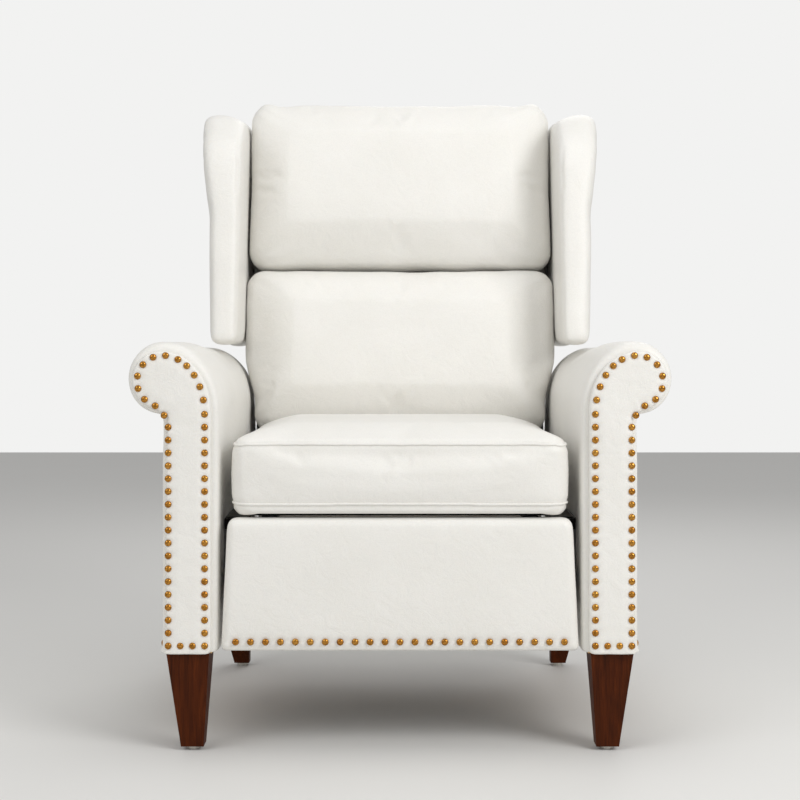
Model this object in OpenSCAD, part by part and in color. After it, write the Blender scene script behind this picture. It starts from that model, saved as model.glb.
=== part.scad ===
// Wingback recliner: roll arms, split back between two wings, box seat, footrest on folding links.
// Millimetres. X is across, the chair faces -Y, Z is up. All v values count back from the arm fronts.

/* [Arms] */
// half of the width between the arms
gap_half = 274; // [240:1:320]
// thickness of the arm body
arm_t = 82; // [70:1:110]
// height of the arm body's lower edge
arm_low = 147; // [120:1:170]
// height of the crease under the roll
crease_z = 506; // [480:1:530]
// radius of the roll
roll_r = 50; // [42:1:56]
// height of the roll's centre
roll_z = 556; // [540:1:580]
// height at which the inner side starts to curve
sweep_z = 512; // [490:1:530]
// length of the arm along its top
arm_len = 622; // [580:1:626]
// length of the arm along its bottom
arm_base_len = 704; // [680:1:720]
// height at which the slanting rear edge starts
rear_slant_z = 360; // [300:1:400]
// thickness of the cover and its padding on the sides
cover_t = 8; // [5:0.5:12]
// thickness of the front panel
panel_t = 12; // [8:0.5:16]
// inset of the front panel inside the arm's outline
panel_inset = 6; // [3:0.5:9]
// lip at the bottom of the arm
lip_w = 4; // [2:0.5:8]
// height of the lip
lip_h = 7; // [4:0.5:10]
// middle of the roll outside the arm's outer face
roll_shift = 1; // [0:0.5:3]
// how far the crease under the roll stands out
crease_out = 3; // [1:0.5:5]
// length of the cut corner at the rear of the roll
arm_end_cut = 14; // [10:1:20]
// height of the cut corner at the rear of the roll
arm_end_drop = 8; // [5:1:12]
// height of the wooden frame in an arm
frame_top = 498; // [490:1:500]
// width of the posts and rails in an arm
post_w = 46; // [36:1:50]
// play between the arm frame and its cover at the rear
wood_play = 4; // [2:0.5:5]
// play over the arm frame
top_play = 2; // [1:0.5:4]
// how far the low rear post ends under the slant
rear_post_drop = 12; // [10:1:20]
// distance of the arm rails from the rear of the roll
rail_short = 20; // [18:1:30]
// how far the middle rail rises over the hinge
mid_rail_up = 20; // [10:1:30]
// distance of the upright behind the roll from its rear end
rear_stile = 70; // [66:1:90]

/* [Nails] */
// width of a nail head
nail_d = 9; // [7:0.5:11]
// height of a nail head
nail_h = 2.4; // [1.5:0.1:3]
// spacing of the nails up the arm
nail_pitch = 19.2; // [17:0.1:24]
// distance of the outer nail column from the arm's outer face
nail_out = 10; // [8:0.5:14]
// distance of the inner nail column from the arm's inner face
nail_in = 17.5; // [15:0.5:20]
// height of the lowest nails
nail_z = 160; // [156:1:164]
// radius of the nail row in the roll
nail_roll_r = 38.5; // [34:0.5:42]
// spacing of the nails along the footrest
foot_nail_pitch = 22.3; // [20:0.1:26]
// stand-off of the footrest's nails
foot_nail_out = 1; // [0.9:0.1:1.4]
// height of the footrest's nails
foot_nail_z = 166; // [160:1:172]
// the crease nail lies this far inside the outer face
crease_nail_in = 4; // [2:0.5:6]
// and this far under the crease
crease_nail_down = 2; // [0:0.5:4]
// middle of the nail circle on the roll: inwards
nail_roll_in = 3; // [0:0.5:5]
// and down
nail_roll_down = 1; // [0:0.5:3]
// first nail on the roll, in degrees
nail_roll_a = -73; // [-80:1:-60]
// step along the roll, in degrees
nail_roll_step = 28.2; // [24:0.1:30]
// middle of the nail curve on the inner sweep
nail_sweep_in = 5; // [2:0.5:8]
// half width of the nail curve on the sweep
nail_sweep_w = 60.5; // [55:0.5:63]
// height of the nail curve on the sweep
nail_sweep_h = 86.7; // [80:0.1:88]
// step along the sweep, in degrees
nail_sweep_step = 14; // [12:0.5:15]
// first nail of the outer side behind the front panel
side_nail_v = 14; // [8:1:20]

/* [Legs] */
// width of a leg at its top
leg_top = 64; // [50:1:70]
// width of a front leg at its foot
leg_foot = 34; // [26:1:44]
// width of a rear leg at its foot
rear_foot = 28; // [24:1:40]
// inset of a leg from the arm's inner face
leg_in = 12; // [8:1:20]
// inset of a front foot from the leg's inner face
foot_in = 9; // [4:1:16]
// height of a glide
glide_h = 6; // [4:0.5:10]
// width of a glide
glide_d = 20; // [14:1:24]
// setback of the front legs
leg_v = 10; // [4:1:20]
// diameter of a hanger bolt
bolt_d = 8; // [6:1:10]
// length of a hanger bolt in the leg
bolt_leg = 40; // [30:1:50]
// length of a hanger bolt in the frame
bolt_up = 34; // [25:1:40]
// how far back a front foot stands under its leg top
foot_back = 6; // [0:1:10]
// how far in a rear foot stands
rear_foot_in = 2; // [0:1:10]
// distance of a rear leg from the rear end of the arm
rear_leg_in = 68; // [66:1:90]
// play at each end of a hanger bolt
bolt_play = 2; // [1:0.5:4]

/* [Seat] */
// height of the seat cushion's lower welt
seat_low = 369; // [360:1:380]
// height of the seat cushion's upper welt
seat_top = 463; // [450:1:470]
// height of the seat's crown above the upper welt
seat_crown = 27; // [10:1:34]
// drop of the underside below the lower welt
seat_under = 16; // [8:1:18]
// length of the seat cushion
seat_len = 500; // [470:1:510]
// how far the seat slides forward
seat_slide = 60; // [40:1:70]
// thickness of the seat frame's rails
seat_rail = 22; // [18:1:30]
// height of the seat frame
seat_frame_h = 44; // [36:1:50]
// width of a spring's wave
wave_w = 44; // [36:1:50]
// thickness of the spring wire
wire = 3.6; // [3:0.2:4.6]
// pitch of a spring's wave
wave_pitch = 26; // [22:1:32]
// gap between the cushion and an arm at the rear
seat_play = 20; // [16:1:30]
// distance from an arm to the seat frame
seat_frame_in = 48; // [48:1:60]
// front of the seat behind the arm fronts
seat_front = 2; // [0:0.5:6]
// thickness of the cushion's skirt round the frame
seat_wall_in = 14; // [13:1:18]
// space between the springs and the cushion
seat_roof_gap = 4; // [2:0.5:8]
// depth of the boxing behind the piping
welt_in = 2; // [1:0.5:4]
// height of a piping
welt_h = 5; // [3:0.5:8]
// front of the seat frame behind the arm fronts
frame_v = 34; // [30:1:40]
// distance from the rear of the seat frame to the rear of the cushion
frame_rear = 30; // [28:1:40]
// distance between the seat springs
spring_pitch = 78; // [70:1:82]
// a spring's end inside the frame's end
spring_in = 6; // [4:1:10]
// edge of the frame to a clip
clip_in = 3; // [2:0.5:6]
// length of a clip
clip_len = 12; // [8:1:16]
// how far a clip reaches past its spring
clip_over = 4; // [2:0.5:6]
// thickness of a clip
clip_t = 1.5; // [1:0.1:2]

/* [Back] */
// height of the back's hinge
hinge_z = 330; // [320:1:340]
// lean of the back
rake = 14; // [10:0.5:18]
// depth of the back behind the hinge plane
back_rear = 86; // [70:1:90]
// depth of the cushions' edge before the hinge plane
back_front = 108; // [95:1:120]
// crown of the back cushions
back_crown = 32; // [20:1:36]
// height of the lumbar cushion along the back
lumbar_h = 304; // [280:1:330]
// height at which the lumbar cushion starts, along the back
lumbar_low = 105; // [95:1:130]
// height of the head cushion along the back
head_h = 338; // [300:1:360]
// thickness of the back frame's wood
back_wood = 24; // [20:1:30]
// thickness of the outside back
outside_t = 24; // [16:1:30]
// drop of the outside back below the hinge
outside_drop = 128; // [60:1:130]
// distance from the seat's length to the back's hinge
hinge_back = 75; // [60:1:78]
// gap between the low back and an arm
back_play = 12; // [8:1:20]
// how far the head cushion reaches over an arm
head_over = 8; // [0:1:9]
// how far the head cushion's top edge stands over the arch's shoulder
head_rise = 8; // [0:1:14]
// front of the back frame before the hinge
frame_deep = 34; // [30:1:38]
// depth of the back posts
post_d = 60; // [56:1:61]
// distance from the back's top to the frame's top
frame_short = 64; // [60:1:80]
// length of the posts under the hinge
post_under = 28; // [24:1:30]
// radius of the back's hinge pin
hinge_pin_r = 6; // [5:0.5:7]
// play of that pin in the wooden post
hinge_bore_fit = 1; // [0.8:0.1:2]
// height of a rail of the back
back_rail_h = 44; // [36:1:48]
// how far the lumbar rail lies under its cushion
lumbar_rail_down = 40; // [36:1:50]
// end of the back springs inside the posts' outer faces
spring_end = 8; // [4:1:14]
// distance of the cheeks from the wings' lower edge
cheek_gap = 4; // [3:0.5:8]
// height of the cut upper corners of the body
body_corner_h = 44; // [40:1:50]
// width of those corners
body_corner_w = 30; // [20:1:40]
// body's top under the back's top
body_drop = 16; // [15:1:24]
// space between the springs and a cushion
pad_gap = 1; // [0.5:0.1:2]
// half the gap between two cushions
pad_fit = 1; // [0.5:0.1:2]
// edge of the outside back inside the wings' outer faces
out_margin = 4; // [2:0.5:8]
// where its straight side ends under the top
out_side_drop = 120; // [100:1:140]
// its upper corner: inwards
out_corner = 14; // [10:1:20]
// and down
out_corner_drop = 50; // [40:1:60]
// its shoulder: inwards
out_shoulder = 40; // [30:1:50]
// and down
out_shoulder_drop = 26; // [20:1:30]
// half width of the flat top
out_arch_half = 200; // [150:1:240]
// radius of the hinge bracket
bracket_r = 20; // [16:1:24]
// front of the bracket behind the post front
bracket_in = 10; // [6:1:14]
// width of the bracket
bracket_w = 36; // [30:1:40]
// length of the bracket
bracket_len = 180; // [120:1:200]

/* [Wings] */
// rounding of the wings' outline
wing_round = 24; // [12:1:28]
// reach of the wings before the hinge plane
wing_front = 238; // [200:1:240]
// height of the wings' lower edge
wing_low_z = 610; // [608:1:640]
// height of the wings' top
wing_top_z = 1033; // [1000:1:1060]
// inner face of a wing outside the arm's inner face
wing_start = 10; // [9.5:0.5:22]
// outer face of a wing outside the arm's inner face, at the bottom
wing_low_w = 64; // [56:1:76]
// and at the top
wing_top_w = 82; // [72:1:92]
// rear corner under the back's top
wing_rear_drop = 24; // [20:1:40]
// length of the flat crest
wing_crest = 70; // [50:1:90]
// crest over the back's top
wing_crest_rise = 8; // [0:1:12]
// length of the sloping nose
wing_nose = 74; // [60:1:90]
// nose under the top
wing_nose_drop = 44; // [30:1:60]
// where the straight front edge ends
wing_face_drop = 136; // [120:1:170]
// thickness of one layer
wing_skin = 1; // [0.8:0.1:1.5]

/* [Footrest] */
// height of the footrest's top
foot_top = 350; // [344:1:351]
// height of the footrest's bottom
foot_low = 150; // [146:1:156]
// thickness of the footrest's padding
foot_pad_t = 42; // [30:1:43]
// thickness of the footrest's board
foot_board_t = 15; // [12:1:15]
// side of the footrest's top from an arm
foot_top_in = 17; // [12:1:30]
// and of its bottom
foot_low_in = 8; // [7:1:24]
// board inside the padding at the bottom
board_low_in = 12; // [10:1:16]
// and at the top
board_top_in = 10; // [8:1:14]
// rounding of the upper corners
pad_round = 14; // [12:1:16]
// how much thinner the upper edge is
pad_edge_t = 10; // [8:1:14]
// start of the full thickness: inwards
pad_step_in = 6; // [4:1:10]
// and down
pad_step_down = 8; // [6:1:12]
// how much thinner it is there
pad_step_t = 3; // [2:0.5:5]
// rounding of the lower corners
pad_lip_r = 4; // [3:0.5:6]
// ends of the fullest line
pad_belly_in = 50; // [40:1:60]
// its height over the lower edge
pad_belly_up = 90; // [80:1:100]
// how full it is
pad_belly = 3; // [1:0.5:3]
// footrest bracket under the pivot
bracket_down = 20; // [16:1:24]
// height of the bracket
bracket_h = 70; // [60:1:80]
// width of its flange
flange_w = 24; // [18:1:30]
// thickness of its flange
flange_t = 3; // [2:0.5:4]

/* [Linkage] */
// distance of the drive pivot behind the arm fronts
drive_v = 130; // [128:1:132]
// height of the drive pivot
drive_z = 288; // [286:1:290]
// length of the drive link
drive_len = 205; // [204:0.5:206]
// angle of the stored drive link
drive_a = 206; // [205:0.5:207]
// distance of the footrest's pivot behind the arm fronts
board_v = 78; // [77:0.5:79]
// height of the footrest's pivot
board_z = 222; // [221:0.5:223]
// distance of the guide pivot behind the arm fronts
guide_v = 131.95; // [131:0.05:133]
// height of the guide pivot
guide_z = 321.98; // [321:0.02:323]
// length of the guide link
guide_len = 179.26; // [179:0.02:180]
// angle of the stored guide link
guide_a = 201.48; // [201:0.02:202]
// reach of the carrier link's ear
ear_len = 60; // [59:0.5:61]
// angle of the carrier link's ear
ear_a = 70; // [69:0.5:71]
// distance of the tilt pivot along the drive link
tilt_at = 190; // [189:0.5:191]
// height of the tilt pivot on the footrest's bracket
tilt_up = 30; // [29:0.5:31]
// thickness of a link
link_t = 4; // [3:0.5:5]
// width of a link
link_w = 22; // [18:1:24]
// gap between two links
link_gap = 1; // [0.8:0.1:1.5]
// diameter of a rivet
rivet_d = 9; // [8:0.5:10]
// height of a rivet's head
rivet_head = 2; // [1.5:0.25:3]
// clearance round a rivet
rivet_fit = 0.06; // [0.03:0.01:0.1]
// clearance of the guide link's open pivot
guide_fit = 0.95; // [0.9:0.05:1.2]
// clearance of the tilt link's open pivot
tilt_fit = 2.6; // [2.4:0.1:3]
// diameter of the torque tube
tube_d = 19; // [16:1:22]
// distance of the torque tube along the guide link
tube_at = 100; // [90:1:110]
// inner plane of the links inside an arm
link_in = 27; // [26:0.5:29]
// length of the tilt link between its pivots
tilt_len = 226.08; // [225:0.02:227]
// its direction at rest, in degrees
tilt_a = 11.62; // [11:0.02:12]
// flange of a rivet round its shank
rivet_flange = 3; // [2:0.5:4]
// flange of the loose rivets on the ears
ear_flange = 4; // [3:0.5:5]
// flange of the loose rivets on the footrest
tilt_flange = 5; // [4:0.5:6]
// wall of the torque tube
tube_wall = 2; // [1.5:0.25:3]
// space between the tilt link and the base plate
plate_space = 3; // [2.5:0.5:4]
// front of the base plate
plate_front = 84; // [82:1:100]
// its front lower corner under the hinge's height
plate_front_drop = 66; // [62:1:70]
// its rear top over the rails
plate_rise = 8; // [4:1:10]
// its end behind the hinge
plate_end = 30; // [24:1:34]
// its rear corner under the hinge
plate_end_drop = 26; // [22:1:30]
// sloping part before the hinge
plate_rear_len = 60; // [50:1:70]
// depth of that part
plate_rear_drop = 56; // [50:1:60]
// sloping part behind its front
plate_low_len = 110; // [100:1:120]
// lowest point under the hinge
plate_low_drop = 74; // [72:1:78]
// first bolt of the base plate: distance
bolt_1_v = 100; // [98:1:104]
// and height
bolt_1_z = 275; // [272:1:278]
// second bolt: distance
bolt_2_v = 300; // [290:1:310]
// height of the other bolts
bolt_2_z = 300; // [296:1:306]
// third bolt: distance
bolt_3_v = 490; // [480:1:500]
// radius of these bolts
plate_bolt_r = 4; // [3:0.5:5]
// radius of their heads
bolt_head_r = 7; // [6:0.5:9]

/* [Rails] */
// height of the rails' upper side
rail_top = 343; // [338:1:344]
// height of a deck rail
rail_h = 30; // [24:1:34]
// thickness of a rail
rail_t = 36; // [28:1:38]
// setback of the front deck rail
rail_front_v = 68; // [66:1:72]
// thickness of the slide tracks
track_t = 4; // [3:0.5:5]
// width of a slide track
track_w = 24; // [18:1:30]
// gap between moving bodies
gap = 0.3; // [0.3:0.05:0.6]
// depth of the front rail
front_rail_t = 30; // [26:1:36]
// deck rail before the seat's rear end
rail_rear_in = 45; // [40:1:60]
// height of the low rear rail
rear_rail_h = 66; // [60:1:70]
// distance from an arm to a slide track
track_in = 74; // [70:1:94]
// height of the thin ends of the front rail
rail_end_h = 16; // [12:1:17]
// length of an end, measured from an arm
rail_end_in = 33; // [31:1:40]
// start of a runner behind the front rail
runner_start = 44; // [40:1:48]
// how much shorter than the seat a runner is
runner_short = 190; // [180:1:200]
// how far a cut runs past a face
cut = 1; // [0.5:0.1:2]

/* [Hidden] */
$fn = 32;
// shares of a length
half_share = 0.5;
// how much faster the inner side and the sweep of an inset arm outline draw in
inner_share = 1.4;
// widths that follow the gap between the arms, and depths that follow the seat
seat_half = gap_half - seat_play;
seat_frame_half = gap_half - seat_frame_in;
back_low_half = gap_half - back_play;
cushion_half = gap_half + head_over;
wing_in = gap_half + wing_start;
wing_out_low = gap_half + wing_low_w;
wing_out_top = gap_half + wing_top_w;
foot_top_half = gap_half - foot_top_in;
foot_low_half = gap_half - foot_low_in;
track_x = gap_half - track_in;
hinge_v = seat_len + hinge_back;
rail_rear_v = seat_len - rail_rear_in;
rear_leg_v = arm_base_len - rear_leg_in;
// the object's depth runs from the footrest's nails to the top of the outside back
back_top = lumbar_low + lumbar_h + head_h - head_rise;
rear_v = hinge_v + back_rear * cos(rake) + back_top * sin(rake);
front_y = -(rear_v - foot_nail_out - nail_h) * half_share;
arm_out = gap_half + arm_t;
roll_x = arm_out + roll_shift;
// planes of the links, counted outwards from the innermost one
plane_guide = gap_half - link_in;
plane_carrier = plane_guide + link_t + link_gap;
plane_drive = plane_carrier + link_t + link_gap;
plane_tilt = plane_drive + link_t + link_gap;
plate_x = plane_tilt + link_t + plate_space;
rivet_r = rivet_d / 2;
frame_in = gap_half + cover_t;
frame_out = arm_out - cover_t;
frame_t = frame_out - frame_in;
// bolts that hold a base plate on its arm frame, as distance and height
plate_bolts = [[bolt_1_v, bolt_1_z], [bolt_2_v, bolt_2_z], [bolt_3_v, bolt_2_z]];
leg_mid = leg_in + leg_top / 2;

function along(v, z, l, a) = [v - l * cos(a), z + l * sin(a)];
p_joint = along(drive_v, drive_z, drive_len, drive_a);
carrier_len = norm([p_joint[0] - board_v, board_z - p_joint[1]]);
carrier_a = atan2(board_z - p_joint[1], p_joint[0] - board_v);
p_ear = along(p_joint[0], p_joint[1], ear_len, carrier_a + ear_a);
p_tilt = along(drive_v, drive_z, tilt_at, drive_a);
p_tube = along(guide_v, guide_z, tube_at, guide_a);
p_held = [board_v, board_z + tilt_up];
p_guide = along(guide_v, guide_z, guide_len, guide_a);

// sets children d behind the arm fronts and z up
module put(x, v, z) {
  translate([x, front_y + v, z]) children();
}

// a flat plate outline drawn as forward and up from a point, t thick outwards from x
module flat(x, v, z, a, t) {
  translate([x + t, front_y + v, z]) rotate([90, 0, -90]) rotate([0, 0, a]) children();
}

// a round pin across the chair from x to x2
module pin(x, x2, v, z, r) {
  put(x, v, z) rotate([0, 90, 0]) cylinder(h = x2 - x, r = r);
}

// outline of the arm seen from the front, inset by d: roll, crease, outer side, lip, inner side and sweep
function arm_outline(d) = concat(
  [for (a = [90:-15:-75]) [roll_x + (roll_r - d) * cos(a), roll_z + (roll_r - d) * sin(a)]],
  [[arm_out + crease_out - d, crease_z], [arm_out - d, crease_z - roll_r * half_share]],
  [[arm_out - d, arm_low + lip_h], [arm_out + lip_w - d, arm_low], [gap_half + d * inner_share, arm_low]],
  [for (a = [180:-15:105])
    [roll_x + (roll_x - gap_half - d * inner_share) * cos(a), sweep_z + (roll_z + roll_r - sweep_z - d) * sin(a)]]);

module arm_body() {
  difference() {
    put(0, arm_base_len, 0) rotate([90, 0, 0]) linear_extrude(arm_base_len - panel_t) polygon(arm_outline(0));
    // the slanting rear edge
    put(gap_half - arm_t, 0, 0) rotate([90, 0, 90]) linear_extrude(arm_t * 4)
      polygon([[arm_base_len, rear_slant_z], [arm_len, roll_z + roll_r - arm_end_drop],
        [arm_len - arm_end_cut, roll_z + roll_r], [arm_len - arm_end_cut, roll_z + arm_t * 2], [arm_base_len * 2, roll_z + arm_t * 2], [arm_base_len * 2, rear_slant_z]]);
    // the space of the wooden frame
    put(frame_in, 0, 0) rotate([90, 0, 90]) linear_extrude(frame_t)
      polygon([[panel_t, 0], [panel_t, frame_top], [arm_len - arm_end_cut, frame_top],
        [arm_base_len - cover_t, rear_slant_z - wood_play], [arm_base_len - cover_t, 0]]);
    for (b = plate_bolts) pin(gap_half - cover_t, frame_in + cover_t, b[0], b[1], plate_bolt_r + rivet_fit);
    pin(gap_half - cover_t, frame_in + cover_t, hinge_v, hinge_z, hinge_pin_r + rivet_fit);
  }
}

module arm_cover_right() {
  color([0.94, 0.93, 0.90]) arm_body();
}

module arm_cover_left() {
  color([0.94, 0.93, 0.90]) mirror([1, 0, 0]) arm_body();
}

module arm_face() {
  put(0, panel_t, 0) rotate([90, 0, 0]) linear_extrude(panel_t) polygon(arm_outline(panel_inset));
}

module arm_panel_right() {
  color([0.95, 0.94, 0.92]) arm_face();
}

module arm_panel_left() {
  color([0.95, 0.94, 0.92]) mirror([1, 0, 0]) arm_face();
}

// wooden frame in an arm: front post, rear post, bottom rail, top rail and middle post
module arm_wood() {
  difference() {
    union() {
      put(frame_in, panel_t, arm_low) cube([frame_t, leg_top, frame_top - arm_low - top_play]);
      put(frame_in, rear_leg_v - wood_play, arm_low)
        cube([frame_t, leg_top - wood_play, rear_slant_z - arm_low - rear_post_drop]);
      put(frame_in, panel_t, arm_low) cube([frame_t, arm_base_len - cover_t - panel_t - wood_play, post_w]);
      put(frame_in, panel_t, frame_top - post_w) cube([frame_t, arm_len - panel_t - rail_short, post_w - top_play]);
      put(frame_in, panel_t, hinge_z - post_w) cube([frame_t, arm_len - panel_t - rail_short, post_w + mid_rail_up]);
      put(frame_in, arm_len - rear_stile, arm_low) cube([frame_t, post_w, frame_top - arm_low - top_play]);
    }
    for (b = plate_bolts) pin(gap_half, frame_in + post_w, b[0], b[1], plate_bolt_r + rivet_fit);
    pin(gap_half, frame_in + post_w, hinge_v, hinge_z, hinge_pin_r + rivet_fit);
    for (v = [leg_v + leg_top / 2, rear_leg_v + leg_top / 2])
      put(gap_half + leg_mid, v, arm_low - cut) cylinder(h = bolt_up + cut * 2, d = bolt_d + rivet_fit);
  }
}

module arm_frame_right() {
  color([0.80, 0.66, 0.46]) arm_wood();
}

module arm_frame_left() {
  color([0.80, 0.66, 0.46]) mirror([1, 0, 0]) arm_wood();
}

// a nail head on a face that looks forward
module head() {
  rotate([90, 0, 0]) cylinder(h = nail_h, d1 = nail_d, d2 = nail_d * half_share, $fn = 8);
}

module nail_rows() {
  for (i = [0:18]) put(gap_half + nail_in, 0, nail_z + nail_pitch * i) head();
  for (i = [0:17]) put(arm_out - nail_out, 0, nail_z + nail_pitch * i) head();
  for (i = [1:2]) put(gap_half + nail_in + (arm_t - nail_in - nail_out) * i / 3, 0, nail_z) head();
  put(arm_out - crease_nail_in, 0, crease_z - crease_nail_down) head();
  for (i = [0:6]) let(a = nail_roll_a + nail_roll_step * i)
    put(roll_x - nail_roll_in + nail_roll_r * cos(a), 0, roll_z - nail_roll_down + nail_roll_r * sin(a)) head();
  for (i = [1:5]) let(a = nail_sweep_step * i)
    put(roll_x - nail_sweep_in - nail_sweep_w * cos(a), 0, crease_z + nail_sweep_h * sin(a)) head();
  // the row along the bottom of the outer side
  for (i = [0:34]) put(arm_out, panel_t + side_nail_v + nail_pitch * i, nail_z) rotate([0, 0, 90]) head();
}

module arm_nails() {
  color([0.66, 0.42, 0.20]) nail_rows();
  color([0.66, 0.42, 0.20]) mirror([1, 0, 0]) nail_rows();
}

// a tapered leg: top square, smaller foot, shifted by dx inwards and dv back
module leg(foot, dx, dv) {
  difference() {
    hull() {
      translate([0, 0, arm_low - glide_h - link_gap]) cube([leg_top, leg_top, link_gap]);
      translate([dx, dv, 0]) cube([foot, foot, link_gap]);
    }
    translate([leg_top / 2, leg_top / 2, arm_low - glide_h - bolt_leg])
      cylinder(h = bolt_leg * 2, d = bolt_d + rivet_fit);
  }
}

module front_leg() {
  put(gap_half + leg_in, leg_v, glide_h) leg(leg_foot, foot_in, foot_back);
}

module rear_leg() {
  put(gap_half + leg_in, rear_leg_v, glide_h) leg(rear_foot, rear_foot_in, leg_top - rear_foot);
}

module leg_front_right() {
  color([0.30, 0.13, 0.07]) front_leg();
}

module leg_front_left() {
  color([0.30, 0.13, 0.07]) mirror([1, 0, 0]) front_leg();
}

module leg_rear_right() {
  color([0.30, 0.13, 0.07]) rear_leg();
}

module leg_rear_left() {
  color([0.30, 0.13, 0.07]) mirror([1, 0, 0]) rear_leg();
}

// the glides sit under the middle of each foot
module glides() {
  color([0.75, 0.74, 0.72]) for (s = [0, 1]) mirror([s, 0, 0]) {
    put(gap_half + leg_in + foot_in + leg_foot / 2, leg_v + foot_back + leg_foot / 2, 0)
      cylinder(h = glide_h, d = glide_d, $fn = 12);
    put(gap_half + leg_in + rear_foot_in + rear_foot / 2, rear_leg_v + leg_top - rear_foot / 2, 0)
      cylinder(h = glide_h, d = glide_d, $fn = 12);
  }
}

module hanger_bolts() {
  color([0.60, 0.60, 0.62]) for (s = [0, 1]) mirror([s, 0, 0])
    for (v = [leg_v + leg_top / 2, rear_leg_v + leg_top / 2])
      put(gap_half + leg_mid, v, arm_low - bolt_leg + bolt_play)
        cylinder(h = bolt_leg + bolt_up - bolt_play * 2, d = bolt_d);
}

// base plate of the linkage with its holes, fixed to the arm frame by three bolts
module base_plate() {
  difference() {
    flat(plate_x, 0, 0, 0, gap_half - plate_x) linear_extrude(gap_half - plate_x) polygon([
      [-plate_front, hinge_z - plate_front_drop], [-plate_front, rail_top], [-hinge_v - plate_end, rail_top + plate_rise],
      [-hinge_v - plate_end, hinge_z - plate_end_drop], [-hinge_v + plate_rear_len, hinge_z - plate_rear_drop],
      [-plate_front - plate_low_len, hinge_z - plate_low_drop]]);
    for (b = plate_bolts) pin(plate_x - cut, gap_half + cut, b[0], b[1], plate_bolt_r + rivet_fit);
    pin(plate_x - cut, gap_half + cut, drive_v, drive_z, rivet_r + rivet_fit);
    pin(plate_x - cut, gap_half + cut, guide_v, guide_z, rivet_r + rivet_fit);
    pin(plate_x - cut, gap_half + cut, hinge_v, hinge_z, hinge_pin_r + rivet_fit);
  }
}
module plate_right() {
  color([0.22, 0.22, 0.23]) base_plate();
}

module plate_left() {
  color([0.22, 0.22, 0.23]) mirror([1, 0, 0]) base_plate();
}

// bolts through a base plate into the arm frame
module plate_fixings() {
  color([0.60, 0.60, 0.62]) for (s = [0, 1]) mirror([s, 0, 0]) for (b = plate_bolts) {
    pin(plate_x, frame_in + post_w - wood_play, b[0], b[1], plate_bolt_r);
    pin(plate_x - rivet_head, plate_x, b[0], b[1], bolt_head_r);
  }
}

// fixed pins: drive pivot, guide pivot and the back's hinge, each with a head or a spacer
module pivot_pins() {
  color([0.72, 0.70, 0.66]) for (s = [0, 1]) mirror([s, 0, 0]) {
    pin(plane_drive - rivet_head - gap, gap_half - gap, drive_v, drive_z, rivet_r);
    pin(plane_drive - rivet_head - gap, plane_drive - gap, drive_v, drive_z, rivet_r + rivet_flange);
    pin(plane_drive + link_t + gap, plate_x, drive_v, drive_z, rivet_r + rivet_flange);
    pin(plane_guide - rivet_head - gap, gap_half - gap, guide_v, guide_z, rivet_r);
    pin(plane_guide - rivet_head - gap, plane_guide - gap, guide_v, guide_z, rivet_r + rivet_flange);
    pin(plane_guide + link_t + gap, plate_x, guide_v, guide_z, rivet_r + rivet_flange);
    pin(back_low_half - back_wood / 2, frame_in + post_w - wood_play, hinge_v, hinge_z, hinge_pin_r);
  }
}

// a wooden rail across the chair between the two base plates
module rail(v, z, t, h) {
  put(-plate_x, v, z) cube([plate_x * 2, t, h]);
}

// its ends are thinner, so that the guide links can swing up under them
module front_rail() {
  color([0.80, 0.66, 0.46]) {
    rail(rail_front_v, rail_top - rail_end_h, front_rail_t, rail_end_h);
    put(rail_end_in - gap_half, rail_front_v, rail_top - rail_h) cube([(gap_half - rail_end_in) * 2, front_rail_t, rail_h]);
  }
}

module deck_rail() {
  color([0.80, 0.66, 0.46]) rail(rail_rear_v, rail_top - rail_h, rail_t, rail_h);
}

// the low rear rail runs between the arms' faces
module rear_rail() {
  color([0.80, 0.66, 0.46]) put(-gap_half, rail_rear_v, arm_low) cube([gap_half * 2, back_wood, rear_rail_h]);
}

// steel tracks on the rails, on which the seat's runners slide
module slide_tracks() {
  color([0.25, 0.25, 0.26]) for (s = [0, 1]) mirror([s, 0, 0])
    put(track_x - track_w / 2, rail_front_v, rail_top) cube([track_w, rail_rear_v + rail_t - rail_front_v, track_t]);
}

// runners of the seat frame
runner_z = rail_top + track_t + gap;
module seat_runners() {
  color([0.35, 0.35, 0.36]) for (s = [0, 1]) mirror([s, 0, 0])
    put(track_x - track_w / 2, rail_front_v + runner_start, runner_z)
      cube([track_w, seat_len - runner_short, track_t]);
}

// seat frame: side rails, and front and rear rails between them
frame_z = runner_z + track_t;
frame_len = seat_len - frame_v - frame_rear;
module seat_side_rails() {
  color([0.80, 0.66, 0.46]) for (s = [0, 1]) mirror([s, 0, 0])
    put(seat_frame_half - seat_rail, frame_v, frame_z) cube([seat_rail, frame_len, seat_frame_h]);
}

module seat_end_rails() {
  color([0.80, 0.66, 0.46]) for (v = [frame_v, frame_v + frame_len - seat_rail])
    put(seat_rail - seat_frame_half, v, frame_z) cube([(seat_frame_half - seat_rail) * 2, seat_rail, seat_frame_h]);
}

// one sinuous spring, laid flat: a wave n half turns long
module wave(n, w, pitch) {
  linear_extrude(wire) polygon(concat(
    [for (i = [0:n]) [(i % 2 == 0 ? -w : w) / 2 - wire / 2, i * pitch]],
    [for (i = [n:-1:0]) [(i % 2 == 0 ? -w : w) / 2 + wire / 2, i * pitch]]));
}

seat_waves = 15;
module seat_springs() {
  color([0.45, 0.45, 0.47]) for (i = [-2:2])
    put(spring_pitch * i, frame_v + spring_in, frame_z + seat_frame_h)
      wave(seat_waves, wave_w, (frame_len - spring_in * 2) / seat_waves);
}

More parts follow.
